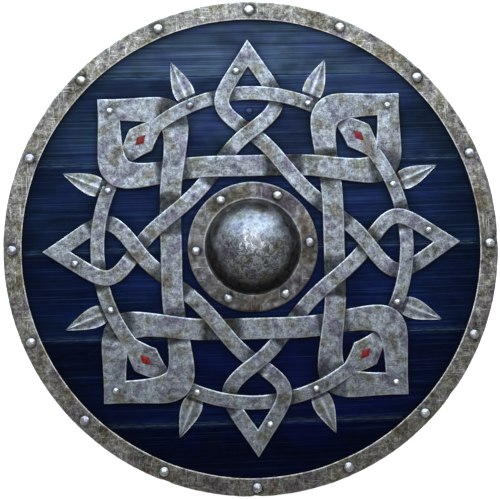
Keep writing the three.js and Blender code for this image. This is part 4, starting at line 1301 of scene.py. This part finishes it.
def make_enamels(material):
    """Lozenge studs with a crowned top, each in its recess."""
    rings, sides = 9, 48
    for name in ENAMELS:
        low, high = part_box(name)
        centre = (low + high) / 2
        turn = math.atan2(centre.y, centre.x)
        c, s = math.cos(turn), math.sin(turn)
        points = []
        for i in range(rings + 1):
            share = min(1.0, i / (rings - 1))
            level = low.z if i == rings else high.z - (high.z - low.z - ENAMEL_WALL) * share ** 3
            for angle in np.arange(sides) * 2 * math.pi / sides:
                reach = share / (abs(math.cos(angle)) + abs(math.sin(angle)))
                x = ENAMEL_HALF_WIDTH * reach * math.cos(angle)
                y = ENAMEL_HALF_LENGTH * reach * math.sin(angle)
                points.append((centre.x + x * c - y * s, centre.y + x * s + y * c, level))
        faces = grid_faces(rings + 1, sides, close_columns=True)
        faces.append(tuple(range(rings * sides, (rings + 1) * sides)))
        piece = new_object(f"{name}_stud", points, faces=faces, materials=[material])
        finished_piece(cleaned(piece), "red_enamel", name)


def make_batten(name, material):
    """The frame's batten with its edges eased by a plane."""
    piece = bpy.data.objects.new(f"{name}_planed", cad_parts[name].data.copy())
    bpy.context.collection.objects.link(piece)
    piece.data.materials.clear()
    piece.data.materials.append(material)
    cleaned(piece, distance=1e-5)
    eased = piece.modifiers.new("eased_edges", "BEVEL")
    eased.width = 2.2 * MM
    eased.segments = 3
    eased.limit_method = "ANGLE"
    eased.angle_limit = math.radians(40)
    finish_modifiers(piece)
    piece.data.set_sharp_from_angle(angle=math.radians(35))
    finished_piece(piece, "bare_wood", name)


def add_floor(material):
    """A floor of 12 m, just under the shield."""
    half, level = 6, -0.2 * MM
    corners = [(-half, -half, level), (half, -half, level), (half, half, level), (-half, half, level)]
    floor = new_object("floor", corners, faces=[(0, 1, 2, 3)], materials=[material])


add_camera()
add_lights()
bpy.context.scene.view_settings.view_transform = "Standard"

rim_steel = aged_steel("browned_forged_rim_steel", ("#2b2822", "#68645c", "#959188", "#e2e1dd"), seed=1.0,
                       dents=(15, 0.8), coarse=1.15, specks=1.1, curls=0.2, rasped=0.9)
boss_steel = aged_steel("hammered_boss_steel", ("#1e1c1b", "#545250", "#7e7c7e", "#d4dae2"), seed=4.0,
                        dents=(9, 0.4), coarse=1.3, specks=0.25, curls=0.05, rough=0.3, bumps=0.3)
knot_steel = aged_steel("cut_plate_steel", ("#393a38", "#767a7f", "#a1a8b1", "#e4eaf2"), seed=7.0,
                        dents=(11, 0.35), specks=0.85, curls=0.2)
rivet_steel = aged_steel("hand_worn_rivet_steel", ("#4a4744", "#a3a3a3", "#cfd0d1", "#fafafb"), seed=12.0,
                         dents=(4, 0.2), specks=0.4, curls=0.1, rough=0.3)
paint = painted_planks()
plank_wood = bare_ash("oiled_ash_along_planks", along_x=True, seed=31.0)
batten_wood = bare_ash("oiled_ash_along_battens", along_x=False, seed=37.0)

add_floor(white_floor())
sweeping = sweep_tree()
knot_bands = make_knot(sweeping, knot_steel)
for number in range(1, PLANK_COUNT + 1):
    make_board(number, knot_bands, paint, plank_wood)
make_rim(sweeping, rim_steel)
make_boss(sweeping, boss_steel)

riveting = rivet_tree()
make_rivets("rim_rivet_heads", riveting, RIM_RIVETS, RIM_RIVET_HEAD, RIM_FRONT - RIVET_SINK, 3,
            rivet_steel, "rivet_steel", RIVET_TAIL, RIM_BACK)
make_rivets("boss_rivet_heads", riveting, BOSS_RIVETS, BOSS_RIVET_HEAD, FLANGE_TOP - RIVET_SINK, 5,
            rivet_steel, "rivet_steel", RIVET_TAIL, PLANK_BOTTOM)
make_rivets("knot_nail_heads", riveting, KNOT_NAILS, KNOT_NAIL_HEAD, KNOT_TOP - KNOT_NAIL_SINK, 8,
            rivet_steel, "rivet_steel")
painted_nail = make_rivets("plank_nail_head", riveting, ["plank_nail"], PLANK_NAIL_HEAD,
                           PLANK_TOP - PLANK_NAIL_SINK, 11, paint, "painted_planks")
nailed_board = board_place(PLANK_WITH_NAIL)
set_attribute(painted_nail.data, "board", np.full(len(painted_nail.data.vertices), nailed_board))
make_enamels(red_enamel())
for batten in BATTENS:
    make_batten(batten, batten_wood)
